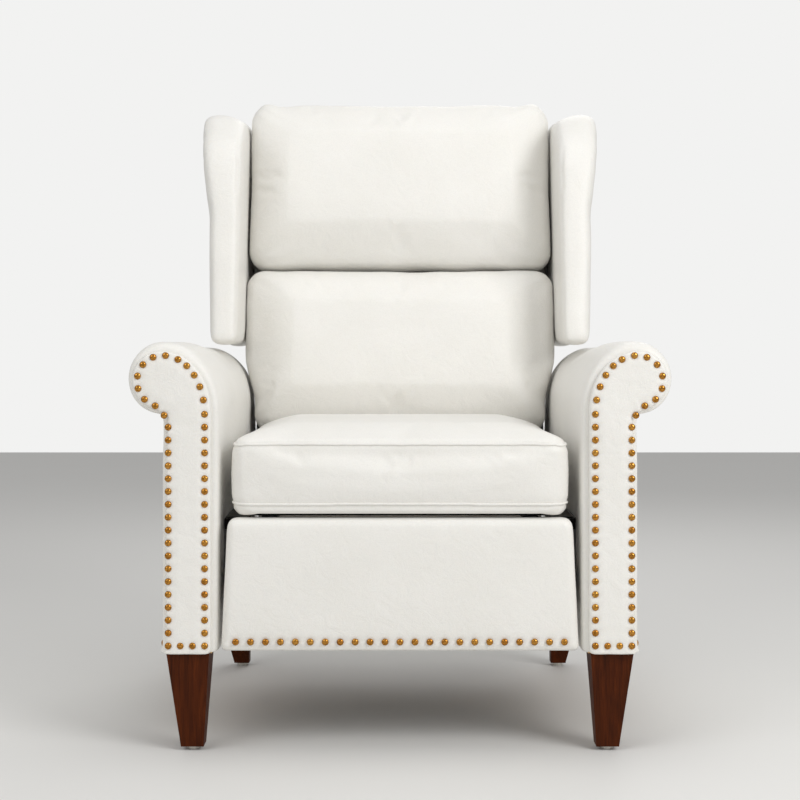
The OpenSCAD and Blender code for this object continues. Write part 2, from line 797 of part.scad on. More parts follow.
// steel clips that hold the springs' ends on the seat frame
module spring_clips() {
  color([0.55, 0.55, 0.56]) for (i = [-2:2])
    for (v = [frame_v + clip_in, frame_v + frame_len - clip_in - clip_len])
      put(spring_pitch * i - wave_w / 2 - clip_over, v, frame_z + seat_frame_h + wire)
        cube([wave_w + clip_over * 2, clip_len, clip_t]);
}

// ring of n points: half widths hx and hy, corner power q, sides drawn in by px and py
// where the flare of a form begins, as a share of its half height below the middle
flare_share = 0.6;
function sgn(a) = a < 0 ? -1 : 1;
function rim(hx, hy, q, px, py, n, fl = 0) = [for (i = [0:n - 1])
  let(a = 360 * (i + half_share) / n, c = sgn(cos(a)) * pow(abs(cos(a)), q), s = sgn(sin(a)) * pow(abs(sin(a)), q))
  [hx * c * (1 - px * (1 - s * s) + fl * min(1, max(0, s + flare_share))), hy * s * (1 - py * (1 - c * c))]];

// a stuffed form through rings of [inset, scale, height]
module stuffed(hx, hy, rings, q, px, py, n, fl = 0) {
  m = len(rings);
  pts = [for (r = rings) for (p = rim(hx - r[0], hy - r[0], q, px, py, n, fl)) [p[0] * r[1], p[1] * r[1], r[2]]];
  sides = [for (j = [0:m - 2]) for (i = [0:n - 1]) for (k = [0, 1])
    let(a = j * n + i, b = j * n + (i + 1) % n) k == 0 ? [a, a + n, b] : [b, a + n, b + n]];
  ends = [[for (i = [0:n - 1]) i], [for (i = [n - 1:-1:0]) (m - 1) * n + i]];
  polyhedron(points = pts, faces = concat([ends[0]], sides, [ends[1]]), convexity = 6);
}

// seat cushion: open below for the frame, welts at the top and bottom of its boxing, crowned top
seat_under_shares = [[0.5, 0.125], [0.1875, 0.5]];
seat_crown_shares = [[0.047, 1, 0.30], [0.157, 1, 0.62], [0.354, 1, 0.85], [0.354, 0.6, 0.97], [0.354, 0.2, 1]];
module seat_cushion() {
  t = frame_z + seat_frame_h + wire + seat_roof_gap;
  l = seat_low - seat_under;
  color([0.95, 0.94, 0.92]) put(0, seat_len / 2 + seat_front, 0) stuffed(seat_half, seat_len / 2, concat(
    [[seat_wall_in, 1, t], [seat_wall_in, 1, l]],
    [for (k = seat_under_shares) [seat_under * k[0], 1, l + seat_under * k[1]]],
    [[0, 1, seat_low], [welt_in, 1, seat_low + welt_h], [0, 1, (seat_low + seat_top) / 2], [welt_in, 1, seat_top - welt_h],
      [0, 1, seat_top]],
    [for (k = seat_crown_shares) [seat_half * k[0], k[1], seat_top + seat_crown * k[2]]]), 0.16, 0.005, 0, 44);
}

// places the back in its own frame: y to the rear from the hinge plane, z up along the back
module back_put() {
  put(0, hinge_v, hinge_z) rotate([-rake, 0, 0]) children();
}

head_low = lumbar_low + lumbar_h;
frame_y = -frame_deep;
frame_top_h = back_top - frame_short;
module back_posts() {
  color([0.80, 0.66, 0.46]) for (s = [0, 1]) mirror([s, 0, 0]) difference() {
    back_put() translate([back_low_half - back_wood, frame_y, -post_under])
      cube([back_wood, post_d, frame_top_h + post_under]);
    pin(back_low_half - back_wood - cut, back_low_half + cut, hinge_v, hinge_z, hinge_pin_r + hinge_bore_fit);
  }
}

module back_rails() {
  color([0.80, 0.66, 0.46]) back_put()
    for (z = [-post_under, lumbar_low - lumbar_rail_down, head_low - back_rail_h / 2, frame_top_h - back_rail_h])
      translate([back_wood - back_low_half, frame_y, z]) cube([(back_low_half - back_wood) * 2, back_wood, back_rail_h]);
}

// upholstered body of the back behind the frame, with the cheeks between the posts and the wings and the top roll
module back_body() {
  y = frame_y + post_d;
  cheek_z = wing_z(0) + cheek_gap;
  top = [[wing_in, back_top - body_corner_h], [wing_in - body_corner_w, back_top - body_drop],
    [body_corner_w - wing_in, back_top - body_drop], [-wing_in, back_top - body_corner_h]];
  color([0.94, 0.93, 0.90]) back_put() {
    translate([0, wing_rear, 0]) rotate([90, 0, 0]) linear_extrude(wing_rear - y) polygon(concat(
      [[-back_low_half, -post_under], [back_low_half, -post_under], [back_low_half, cheek_z], [wing_in, cheek_z]],
      top, [[-wing_in, cheek_z], [-back_low_half, cheek_z]]));
    for (s = [0, 1]) mirror([s, 0, 0]) translate([back_low_half, frame_y, cheek_z])
      cube([wing_in - back_low_half, post_d, frame_top_h - cheek_z]);
    translate([0, y, 0]) rotate([90, 0, 0]) linear_extrude(post_d)
      polygon(concat([[-wing_in, frame_top_h], [wing_in, frame_top_h]], top));
  }
}

lumbar_spring_shares = [0.2, 0.5, 0.8];
head_spring_shares = [0.28, 0.58];
back_waves = 16;
module back_springs() {
  color([0.45, 0.45, 0.47]) back_put()
    for (z = concat([for (k = lumbar_spring_shares) lumbar_low + lumbar_h * k], [for (k = head_spring_shares) head_low + head_h * k]))
      translate([spring_end - back_low_half, frame_y, z]) rotate([90, 0, 0]) rotate([0, 0, -90])
        wave(back_waves, wave_w, (back_low_half - spring_end) * 2 / back_waves);
}

// a back cushion: rings run from its rear face to the crowned front
pad_side_shares = [[0.043, 0], [0.011, 0.10], [0, 0.37], [0.007, 0.77], [0.028, 0.94]];
pad_crown_shares = [[0.071, 1, 0.25], [0.177, 1, 0.60], [0.337, 1, 0.86], [0.337, 0.6, 0.97], [0.337, 0.2, 1]];
module back_pad(low, h, half, pull, fl = 0) {
  rear = frame_deep + wire + pad_gap;
  back_put() translate([0, 0, low + h / 2]) rotate([90, 0, 0]) stuffed(half, h / 2, concat(
    [for (k = pad_side_shares) [cushion_half * k[0], 1, rear + (back_front - rear) * k[1]]],
    [for (k = pad_crown_shares) [cushion_half * k[0], k[1], back_front + back_crown * k[2]]]), 0.22, pull, 0, 40, fl);
}

module lumbar_cushion() {
  color([0.95, 0.94, 0.92]) back_pad(lumbar_low + pad_fit, lumbar_h - pad_fit * 2, back_low_half, 0.01,
    cushion_half / back_low_half - 1);
}

module head_cushion() {
  color([0.95, 0.94, 0.92]) back_pad(head_low + pad_fit, head_h - pad_fit * 2, cushion_half, 0.012);
}

// wing outline from the side, in the back's frame: its lower edge is level in the room
function wing_z(y) = (wing_low_z - hinge_z + y * sin(rake)) / cos(rake);
wing_rear = back_rear - outside_t;
wing_lean = atan2(wing_out_top - wing_out_low, wing_top_z - wing_low_z);
// side outline of a wing inset by d, with round corners
module wing_side(d) {
  offset(r = wing_round, $fn = 20) offset(delta = -wing_round - d) polygon([[-wing_front, wing_z(-wing_front)],
    [wing_rear, wing_z(wing_rear)], [wing_rear, back_top - wing_rear_drop], [wing_rear - wing_crest, back_top + wing_crest_rise],
    [-wing_front + wing_nose, back_top - wing_nose_drop], [-wing_front, back_top - wing_face_drop]]);
}

module wing_layer(x, a, d) {
  translate([x, 0, wing_z(0)]) rotate([0, a, 0]) translate([0, 0, -wing_z(0)])
    rotate([90, 0, 90]) linear_extrude(wing_skin) wing_side(d);
}

// layers of a wing: distance from its inner or outer face as a share of its width, inset as a share of its rounding
wing_inner_shares = [[0, 0.5], [0.14, 0.12], [0.40, 0]];
wing_outer_shares = [[0.24, 0], [0.08, 0.18], [0, 0.5]];
module wing() {
  w = wing_out_low - wing_in;
  back_put() hull() {
    for (k = wing_inner_shares) wing_layer(wing_in + w * k[0], 0, wing_round * k[1]);
    for (k = wing_outer_shares) wing_layer(wing_out_low - wing_skin - w * k[0], wing_lean, wing_round * k[1]);
  }
}

module wing_right() {
  color([0.95, 0.94, 0.92]) wing();
}

module wing_left() {
  color([0.95, 0.94, 0.92]) mirror([1, 0, 0]) wing();
}

// outside back: a padded board over the whole rear, narrow between the arms
module outside_back() {
  side = [[back_low_half, -outside_drop], [back_low_half, wing_z(wing_rear)],
    [wing_out_low - out_margin, wing_z(back_rear)], [wing_out_top - out_margin, back_top - out_side_drop],
    [wing_out_top - out_corner, back_top - out_corner_drop], [wing_out_top - out_shoulder, back_top - out_shoulder_drop],
    [out_arch_half, back_top - head_rise], [0, back_top]];
  color([0.93, 0.92, 0.89]) back_put() translate([0, back_rear, 0]) rotate([90, 0, 0])
    linear_extrude(back_rear - wing_rear)
      polygon(concat(side, [for (i = [len(side) - 2:-1:0]) [-side[i][0], side[i][1]]]));
}

// steel ears of the back on the fixed hinge pins
module back_brackets() {
  color([0.22, 0.22, 0.23]) for (s = [0, 1]) mirror([s, 0, 0]) difference() {
    union() {
      pin(back_low_half + gap, back_low_half + link_t, hinge_v, hinge_z, bracket_r);
      back_put() translate([back_low_half, frame_y + bracket_in, 0]) cube([link_t, bracket_w, bracket_len]);
    }
    pin(back_low_half - cut, back_low_half + link_t + cut, hinge_v, hinge_z, hinge_pin_r + rivet_fit);
  }
}

// a link from its pivot: rounded bar with a hole at each end, the second one of radius r2
module bar(l, r2) {
  difference() {
    union() {
      cylinder(h = link_t, r = link_w / 2);
      translate([l, 0, 0]) cylinder(h = link_t, r = link_w / 2);
      translate([0, -link_w / 2, 0]) cube([l, link_w, link_t]);
    }
    translate([0, 0, -cut]) cylinder(h = link_t + cut * 2, r = rivet_r + rivet_fit);
    translate([l, 0, -cut]) cylinder(h = link_t + cut * 2, r = r2);
  }
}

// drive link on the base plate, with a third hole for the tilt link
module drive_bar() {
  difference() {
    flat(plane_drive, drive_v, drive_z, drive_a, link_t) bar(drive_len, rivet_r + rivet_fit);
    pin(plane_drive - cut, plane_drive + link_t + cut, p_tilt[0], p_tilt[1], rivet_r + rivet_fit);
  }
}

// carrier link: a bell crank whose ear the guide link holds
module carrier_bar() {
  difference() {
    union() {
      pin(plane_carrier, plane_carrier + link_t, p_joint[0], p_joint[1], link_w / 2 + rivet_head);
      flat(plane_carrier, p_joint[0], p_joint[1], carrier_a, link_t) arm_of_link(carrier_len);
      flat(plane_carrier, p_joint[0], p_joint[1], carrier_a + ear_a, link_t) arm_of_link(ear_len);
    }
    for (p = [p_joint, p_ear, [board_v, board_z]])
      pin(plane_carrier - cut, plane_carrier + link_t + cut, p[0], p[1], rivet_r + rivet_fit);
  }
}

// the straight part of a link with its far round end
module arm_of_link(l) {
  translate([l, 0, 0]) cylinder(h = link_t, r = link_w / 2);
  translate([0, -link_w / 2, 0]) cube([l, link_w, link_t]);
}

module guide_bar() {
  flat(plane_guide, guide_v, guide_z, guide_a, link_t) bar(guide_len, rivet_r + guide_fit);
}

module tilt_bar() {
  flat(plane_tilt, p_tilt[0], p_tilt[1], tilt_a, link_t) bar(tilt_len, rivet_r + tilt_fit);
}

module drive_link_right() {
  color([0.24, 0.24, 0.25]) drive_bar();
}

module drive_link_left() {
  color([0.24, 0.24, 0.25]) mirror([1, 0, 0]) drive_bar();
}

module carrier_link_right() {
  color([0.24, 0.24, 0.25]) carrier_bar();
}

module carrier_link_left() {
  color([0.24, 0.24, 0.25]) mirror([1, 0, 0]) carrier_bar();
}

module guide_link_right() {
  color([0.24, 0.24, 0.25]) guide_bar();
}

module guide_link_left() {
  color([0.24, 0.24, 0.25]) mirror([1, 0, 0]) guide_bar();
}

module tilt_link_right() {
  color([0.24, 0.24, 0.25]) tilt_bar();
}

module tilt_link_left() {
  color([0.24, 0.24, 0.25]) mirror([1, 0, 0]) tilt_bar();
}

// rivets on the drive links: one carries the carrier link, one the tilt link
module drive_rivets() {
  color([0.72, 0.70, 0.66]) for (s = [0, 1]) mirror([s, 0, 0]) {
    pin(plane_carrier - gap, plane_drive + link_t, p_joint[0], p_joint[1], rivet_r);
    pin(plane_carrier - rivet_head - gap, plane_carrier - gap, p_joint[0], p_joint[1], rivet_r + rivet_flange);
    pin(plane_drive, plane_tilt + link_t + gap, p_tilt[0], p_tilt[1], rivet_r);
    pin(plane_tilt + link_t + gap, plane_tilt + link_t + rivet_head, p_tilt[0], p_tilt[1], rivet_r + rivet_flange);
  }
}

// rivets on the ears of the carrier links, loose in the guide links
module ear_rivets() {
  color([0.72, 0.70, 0.66]) for (s = [0, 1]) mirror([s, 0, 0]) {
    pin(plane_guide - gap, plane_carrier + link_t, p_ear[0], p_ear[1], rivet_r);
    pin(plane_guide - rivet_head - gap, plane_guide - gap, p_ear[0], p_ear[1], rivet_r + ear_flange);
  }
}

// torque tube between the two guide links, so that both sides of the linkage move together
module torque_tube() {
  color([0.30, 0.30, 0.31]) difference() {
    pin(-plane_guide, plane_guide, p_tube[0], p_tube[1], tube_d / 2);
    pin(-plane_guide - cut, plane_guide + cut, p_tube[0], p_tube[1], tube_d / 2 - tube_wall);
  }
}

// footrest: padded front, board, brackets and rivets
board_front = foot_pad_t;
board_rear = foot_pad_t + foot_board_t;
module foot_board() {
  color([0.80, 0.66, 0.46]) put(0, board_rear, 0) rotate([90, 0, 0]) linear_extrude(foot_board_t) polygon([
    [board_low_in - foot_low_half, foot_low + board_low_in], [foot_low_half - board_low_in, foot_low + board_low_in],
    [foot_top_half - board_top_in, foot_top - board_top_in], [board_top_in - foot_top_half, foot_top - board_top_in]]);
}

function foot_half(z) = foot_low_half + (foot_top_half - foot_low_half) * (z - foot_low) / (foot_top - foot_low);
module foot_pad() {
  color([0.95, 0.94, 0.92]) put(0, board_front - gap, 0) hull() for (s = [-1, 1]) {
    translate([s * (foot_half(foot_top) - pad_round), 0, foot_top - pad_round]) rotate([90, 0, 0])
      cylinder(h = foot_pad_t - pad_edge_t, r = pad_round);
    translate([s * (foot_half(foot_top) - pad_round - pad_step_in), 0, foot_top - pad_round - pad_step_down])
      rotate([90, 0, 0]) cylinder(h = foot_pad_t - pad_step_t, r = pad_round);
    translate([s * (foot_half(foot_low) - pad_lip_r), 0, foot_low + pad_lip_r]) rotate([90, 0, 0])
      cylinder(h = foot_pad_t - gap, r = pad_lip_r);
    translate([s * (foot_half(foot_low) - pad_belly_in), 0, foot_low + pad_belly_up]) rotate([90, 0, 0])
      cylinder(h = foot_pad_t + pad_belly, r = pad_round);
  }
}

module foot_nails() {
  color([0.66, 0.42, 0.20]) for (i = [-11:11]) put(foot_nail_pitch * i, -foot_nail_out, foot_nail_z) head();
}

module foot_brackets() {
  color([0.24, 0.24, 0.25]) for (s = [0, 1]) mirror([s, 0, 0]) difference() {
    union() {
      pin(plane_guide, plane_guide + link_t, board_v, board_z, link_w / 2);
      pin(plane_guide, plane_guide + link_t, p_held[0], p_held[1], link_w / 2);
      put(plane_guide, board_rear, board_z - bracket_down) cube([link_t, board_v - board_rear, bracket_h]);
      put(plane_guide, board_v, board_z) cube([link_t, link_w / 2, tilt_up]);
      put(plane_guide - flange_w, board_rear, board_z - bracket_down)
        cube([flange_w + link_t, flange_t, bracket_h]);
    }
    pin(plane_guide - cut, plane_guide + link_t + cut, board_v, board_z, rivet_r + rivet_fit);
    pin(plane_guide - cut, plane_guide + link_t + cut, p_held[0], p_held[1], rivet_r + rivet_fit);
  }
}

// rivets on the footrest's brackets: one in the carrier link, one loose in the tilt link
module foot_rivets() {
  color([0.72, 0.70, 0.66]) for (s = [0, 1]) mirror([s, 0, 0]) {
    pin(plane_guide, plane_carrier + link_t + gap, board_v, board_z, rivet_r);
    pin(plane_carrier + link_t + gap, plane_carrier + link_t + rivet_head, board_v, board_z, rivet_r + rivet_flange);
    pin(plane_guide, plane_tilt + link_t + gap, p_held[0], p_held[1], rivet_r);
    pin(plane_tilt + link_t + gap, plane_tilt + link_t + rivet_head, p_held[0], p_held[1], rivet_r + tilt_flange);
  }
}

arm_cover_right();
arm_cover_left();
arm_panel_right();
arm_panel_left();
arm_frame_right();
arm_frame_left();
arm_nails();
leg_front_right();
leg_front_left();
leg_rear_right();
leg_rear_left();
glides();
hanger_bolts();
plate_right();
plate_left();
plate_fixings();
pivot_pins();
front_rail();
deck_rail();
rear_rail();
slide_tracks();
seat_runners();
seat_side_rails();
seat_end_rails();
seat_springs();
spring_clips();
seat_cushion();
back_posts();
back_rails();
back_body();
back_springs();
lumbar_cushion();
head_cushion();
wing_right();
wing_left();
outside_back();
back_brackets();
drive_link_right();
drive_link_left();
drive_rivets();
torque_tube();
carrier_link_right();
carrier_link_left();
ear_rivets();
guide_link_right();
guide_link_left();
tilt_link_right();
tilt_link_left();
foot_board();
foot_pad();
foot_nails();
foot_brackets();
foot_rivets();
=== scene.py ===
import math
import bpy
import bmesh
from mathutils import Matrix, Vector, noise
from mathutils.bvhtree import BVHTree
from mathutils.kdtree import KDTree


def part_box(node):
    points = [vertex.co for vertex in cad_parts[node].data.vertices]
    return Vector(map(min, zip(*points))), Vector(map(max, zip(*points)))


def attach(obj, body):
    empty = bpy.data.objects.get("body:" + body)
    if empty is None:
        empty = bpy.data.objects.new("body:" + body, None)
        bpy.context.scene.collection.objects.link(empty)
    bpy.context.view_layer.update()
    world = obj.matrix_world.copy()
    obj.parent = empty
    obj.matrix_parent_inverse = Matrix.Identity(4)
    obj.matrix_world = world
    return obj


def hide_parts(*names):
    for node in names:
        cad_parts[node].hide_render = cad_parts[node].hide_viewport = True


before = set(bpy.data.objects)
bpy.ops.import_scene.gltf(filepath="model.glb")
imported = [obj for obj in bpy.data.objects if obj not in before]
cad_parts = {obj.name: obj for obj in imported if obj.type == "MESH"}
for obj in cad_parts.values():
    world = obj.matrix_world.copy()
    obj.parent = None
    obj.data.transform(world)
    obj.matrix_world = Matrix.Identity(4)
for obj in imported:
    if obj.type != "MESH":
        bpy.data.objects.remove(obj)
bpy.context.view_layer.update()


# White leather
# The real hide is a warm off-white, semi-matte, with a fine pebble grain, faint
# broad creases and slightly darker pores.
def srgb(text):
    """A hex colour as linear red, green, blue and alpha."""
    c = [int(text[i:i + 2], 16) / 255 for i in (1, 3, 5)]
    return [v / 12.92 if v <= 0.04045 else ((v + 0.055) / 1.055) ** 2.4 for v in c] + [1.0]


def add(tree, kind, settings=(), **inputs):
    """Adds a node with its settings; inputs are values or sockets, named as on the node."""
    n = tree.nodes.new(kind)
    for k, v in dict(settings).items():
        setattr(n, k, v)
    for k, v in inputs.items():
        key = int(k[1:]) if k[0] == "_" else k.replace("_", " ")
        if isinstance(v, bpy.types.NodeSocket):
            tree.links.new(v, n.inputs[key])
        else:
            n.inputs[key].default_value = v
    return n


def ramp(tree, fac, *stops):
    """A colour ramp through (place, hex colour or grey value) stops."""
    n = add(tree, "ShaderNodeValToRGB", Fac=fac)
    e = n.color_ramp.elements
    while len(e) < len(stops):
        e.new(0.5)
    for el, (p, c) in zip(e, stops):
        el.position = p
        el.color = srgb(c) if isinstance(c, str) else (c, c, c, 1)
    return n.outputs["Color"]


def blank(name):
    """A new material, its empty node tree and its object coordinates."""
    m = bpy.data.materials.new(name)
    m.use_nodes = True
    t = m.node_tree
    t.nodes.clear()
    return m, t, add(t, "ShaderNodeTexCoord").outputs["Object"]


def show(tree, shader):
    """Sends this shader to the material's output."""
    tree.links.new(shader.outputs[0], add(tree, "ShaderNodeOutputMaterial").inputs["Surface"])


MULTIPLY = {"data_type": "RGBA", "blend_type": "MULTIPLY"}
HIDE_TINT = "#F0EEE9"
HIDE_SHADE = "#EBE9E3"
GRAIN = 0.10
SHEEN_ROUGH = 0.46


def leather(name, crease=0.25):
    """Pebble grain from cells, finer pores, and creases of this strength."""
    m, t, co = blank(name)
    warp = add(t, "ShaderNodeTexNoise", Vector=co, Scale=140.0, Detail=2.0)
    mix = add(t, "ShaderNodeMix", {"data_type": "VECTOR"}, _0=0.006, _4=co, _5=warp.outputs["Color"])
    cells = add(t, "ShaderNodeTexVoronoi", {"feature": "SMOOTH_F1"}, Vector=mix.outputs[1], Scale=620.0,
                Smoothness=0.6)
    pores = add(t, "ShaderNodeTexNoise", Vector=co, Scale=1500.0, Detail=2.0)
    broad = add(t, "ShaderNodeTexNoise", Vector=co, Scale=9.0, Detail=4.0, Roughness=0.55)
    fold = add(t, "ShaderNodeTexNoise", Vector=co, Scale=34.0, Detail=3.0, Roughness=0.6, Distortion=1.2)
    shade = add(t, "ShaderNodeMix", MULTIPLY, _0=1.0,
                _6=ramp(t, broad.outputs["Fac"], (0.25, HIDE_SHADE), (0.75, HIDE_TINT)),
                _7=ramp(t, cells.outputs["Distance"], (0.0, 1.0), (1.0, 0.93)))
    bump = add(t, "ShaderNodeBump", Height=cells.outputs["Distance"], Strength=GRAIN, Distance=0.0012)
    bump = add(t, "ShaderNodeBump", Height=pores.outputs["Fac"], Strength=GRAIN * 0.5, Distance=0.0006,
               Normal=bump.outputs["Normal"])
    bump = add(t, "ShaderNodeBump", Height=fold.outputs["Fac"], Strength=crease, Distance=0.004,
               Normal=bump.outputs["Normal"])
    r = ramp(t, broad.outputs["Fac"], (0.2, SHEEN_ROUGH - 0.05), (0.8, SHEEN_ROUGH + 0.07))
    show(t, add(t, "ShaderNodeBsdfPrincipled", Base_Color=shade.outputs[2], Roughness=r,
                Normal=bump.outputs["Normal"], Specular_IOR_Level=0.42, Sheen_Weight=0.06,
                Subsurface_Weight=0.03, Subsurface_Radius=(0.004, 0.003, 0.002)))
    return m


hide = leather("white_leather")


# Arm covers
# Each arm is a padded body under a full roll: the skin swells a little past the front
# panel, is drawn tight at the crease under the roll and sags softly on the outer side.
def piece(name, verts, faces, material, smooth=True):
    """A mesh object in the scene."""
    me = bpy.data.meshes.new(name)
    me.from_pydata([tuple(v) for v in verts], [], faces)
    me.update()
    ob = bpy.data.objects.new(name, me)
    bpy.context.scene.collection.objects.link(ob)
    if material:
        me.materials.append(material)
    if smooth:
        me.shade_smooth()
    return ob


def loft(name, rings, material, caps=True):
    """Closed rings of equal length, joined by quads, with a flat face on either end."""
    n = len(rings[0])
    faces = [[j * n + i, j * n + (i + 1) % n, (j + 1) * n + (i + 1) % n, (j + 1) * n + i]
             for j in range(len(rings) - 1) for i in range(n)]
    if caps:
        faces.append(list(range(n))[::-1])
        faces.append([(len(rings) - 1) * n + i for i in range(n)])
    ob = piece(name, [p for r in rings for p in r], faces, material)
    bm = bmesh.new()
    bm.from_mesh(ob.data)
    bmesh.ops.recalc_face_normals(bm, faces=bm.faces)
    bmesh.ops.triangulate(bm, faces=[f for f in bm.faces if len(f.verts) > 4])
    bm.to_mesh(ob.data)
    bm.free()
    return ob


def apply_all(ob):
    """Turns the modified shape into the object's own mesh."""
    dg = bpy.context.evaluated_depsgraph_get()
    me = bpy.data.meshes.new_from_object(ob.evaluated_get(dg))
    old = ob.data
    ob.modifiers.clear()
    ob.data = me
    bpy.data.meshes.remove(old)
    me.name = ob.name
    me.shade_smooth()


def subdivide(ob):
    """Smooth subdivision, once."""
    ob.modifiers.new("sub", "SUBSURF").levels = 1
    apply_all(ob)


def ramped(value, start, length):
    """0 up to start, then rising straight to 1 over this length."""
    return min(1, max(0, (value - start) / length))


def arc(x, z, across, up, angle):
    """A point on an ellipse round (x, z), at this angle in degrees."""
    return x + across * math.cos(math.radians(angle)), z + up * math.sin(math.radians(angle))


def pad(ob, body, node):
    """Hangs a padded leather piece on the body that it rides and hides the solid that it stands for."""
    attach(ob, body)
    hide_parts(node)


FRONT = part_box("arm_panel_right")[0][1]  # the plane of the arm fronts
GAP = 0.274  # from the middle of the chair to an arm's inner side
OUT = GAP + 0.082  # to its outer side
ROLL_R = 0.050
ROLL_X = OUT + 0.001
ROLL_Z = 0.556
CREASE_Z = 0.506
SWEEP_Z = 0.512  # where the inner side starts to sweep over to the roll
LOW = 0.147
ROLL_TOP = 0.6165
TURN = -6  # degrees between two points of the roll
SIDE_STEP = 16  # millimetres between two points of a straight side


def arm_outline(inset):
    """The arm from the front as (x, z): roll, crease, outer side, lip, inner side and sweep."""
    # a negative inset puffs the roll, and the flat sides only a little
    inner = inset * 1.4 if inset > 0 else inset * 0.3
    outer = inset if inset > 0 else inset * 0.15

    def radius(angle):
        puff = 0.12 + 0.88 * ramped(angle, -10, 80)
        return ROLL_R - (inset if inset > 0 else inset * puff)

    pts = [arc(ROLL_X, ROLL_Z, radius(a), radius(a), a) for a in range(90, -83, TURN)]
    pts += [(OUT + 0.0015 - outer, CREASE_Z - 0.001), (OUT - 0.002 - outer, CREASE_Z - 0.006),
            (OUT - 0.001 - outer, CREASE_Z - 0.05)]
    pts += [(OUT - outer, z / 1000) for z in range(440, 160, -SIDE_STEP)]
    pts += [(OUT - outer, LOW + 0.009), (OUT + 0.003 - outer, LOW + 0.004),
            (OUT + 0.003 - outer, LOW + 0.0008), (OUT - outer - 0.004, LOW)]
    pts += [(GAP + inner + 0.03, LOW), (GAP + inner + 0.004, LOW), (GAP + inner, LOW + 0.004)]
    pts += [(GAP + inner, z / 1000) for z in range(170, 505, SIDE_STEP)]
    across = ROLL_X - GAP - inner
    up = ROLL_Z + ROLL_R - SWEEP_Z - inset
    pts += [arc(ROLL_X, SWEEP_Z, across, up, a) for a in range(180, 93, TURN)]
    return pts


ARM_START = 0.011  # the skin starts this far behind the fronts
ARM_DEPTH = 0.704
SLANT_LOW = 0.36
SLANT_TOP = 0.598
SLANT = 0.082


def arm_end(z):
    """Where the arm ends behind the fronts: upright low down, then slanting forward."""
    return ARM_DEPTH if z < SLANT_LOW else ARM_DEPTH - (z - SLANT_LOW) / (SLANT_TOP - SLANT_LOW) * SLANT


# share of the way along the arm, and inset of the outline there: full behind the front border
FULL = -0.0085
SLACK = -0.0022
ARM_STEPS = [(0.0, 0.0045), (0.002, 0.0025), (0.006, -0.002), (0.016, -0.0065), (0.04, FULL)]
ARM_STEPS += [(k / 24, FULL) for k in range(2, 11)]
ARM_STEPS += [(11 / 24, -0.006), (12 / 24, -0.0035)]
ARM_STEPS += [(k / 24, SLACK) for k in range(13, 23)]
ARM_STEPS += [(0.985, -0.0015), (0.995, 0.002), (1.0, 0.006)]
SAG = 0.0022
RIPPLE = 0.0009
ROLL_DROP = 0.009  # the roll is lower behind the front border
for side, s in (("right", 1), ("left", -1)):
    rings = []
    for t, inset in ARM_STEPS:
        rings.append([Vector((s * x, FRONT + ARM_START + t * (arm_end(z) - ARM_START - 0.001), z))
                      for x, z in arm_outline(inset)])
    arm = loft(f"arm_skin_{side}", rings, hide)
    for v in arm.data.vertices:
        # soft sags, none at the front border and few in the low band that the nails hold
        free = ramped(v.co.y - FRONT, 0.02, 0.05)
        nailed = min(1, max(0.1, (v.co.z - 0.175) / 0.06))
        sag = noise.noise(v.co * 7 + Vector((3 * s, 0, 0)))
        ripple = noise.noise(Vector((v.co.x * 30, v.co.y * 11, v.co.z * 30)))
        v.co += v.normal * free * nailed * (SAG * sag + RIPPLE * ripple)
        back = ramped(v.co.y - FRONT, 0.26, 0.06)
        v.co.z = max(LOW, min(v.co.z, ROLL_TOP - ROLL_DROP * back))
    subdivide(arm)
    pad(arm, "base", f"arm_cover_{side}")


# Arm front panels
# A thin board is wrapped in padded leather, so its rim is round and its face slightly
# domed, and every nail pulls a small dimple into it.
def remesh(ob, voxel, smooth):
    """Even voxels, then this many smoothing passes."""
    m = ob.modifiers.new("remesh", "REMESH")
    m.mode = "VOXEL"
    m.voxel_size = voxel
    s = ob.modifiers.new("smooth", "SMOOTH")
    s.factor = 0.5
    s.iterations = smooth
    apply_all(ob)


NAIL_PITCH = 0.0192
NAIL_Z = 0.160  # the row along the bottom


def nail_spots(s):
    """The nail centres on one arm front: both columns, the bottom, the crease and the roll."""
    inner = GAP + 0.0175
    outer = OUT - 0.010
    pts = [(inner, NAIL_Z + NAIL_PITCH * i) for i in range(19)]
    pts += [(outer, NAIL_Z + NAIL_PITCH * i) for i in range(18)]
    pts += [(inner + (outer - inner) * i / 3, NAIL_Z) for i in (1, 2)]
    pts += [(OUT - 0.004, CREASE_Z - 0.002)]
    pts += [arc(ROLL_X - 0.003, ROLL_Z - 0.001, 0.0385, 0.0385, -73 + 28.2 * i) for i in range(7)]
    pts += [arc(ROLL_X - 0.005, CREASE_Z, -0.0605, 0.0867, 14 * i) for i in range(1, 6)]
    return [(s * x, z) for x, z in pts]


def nearest(points):
    """A search tree over (x, z) points on a front face."""
    tree = KDTree(len(points))
    for i, (x, z) in enumerate(points):
        tree.insert((x, 0, z), i)
    tree.balance()
    return tree


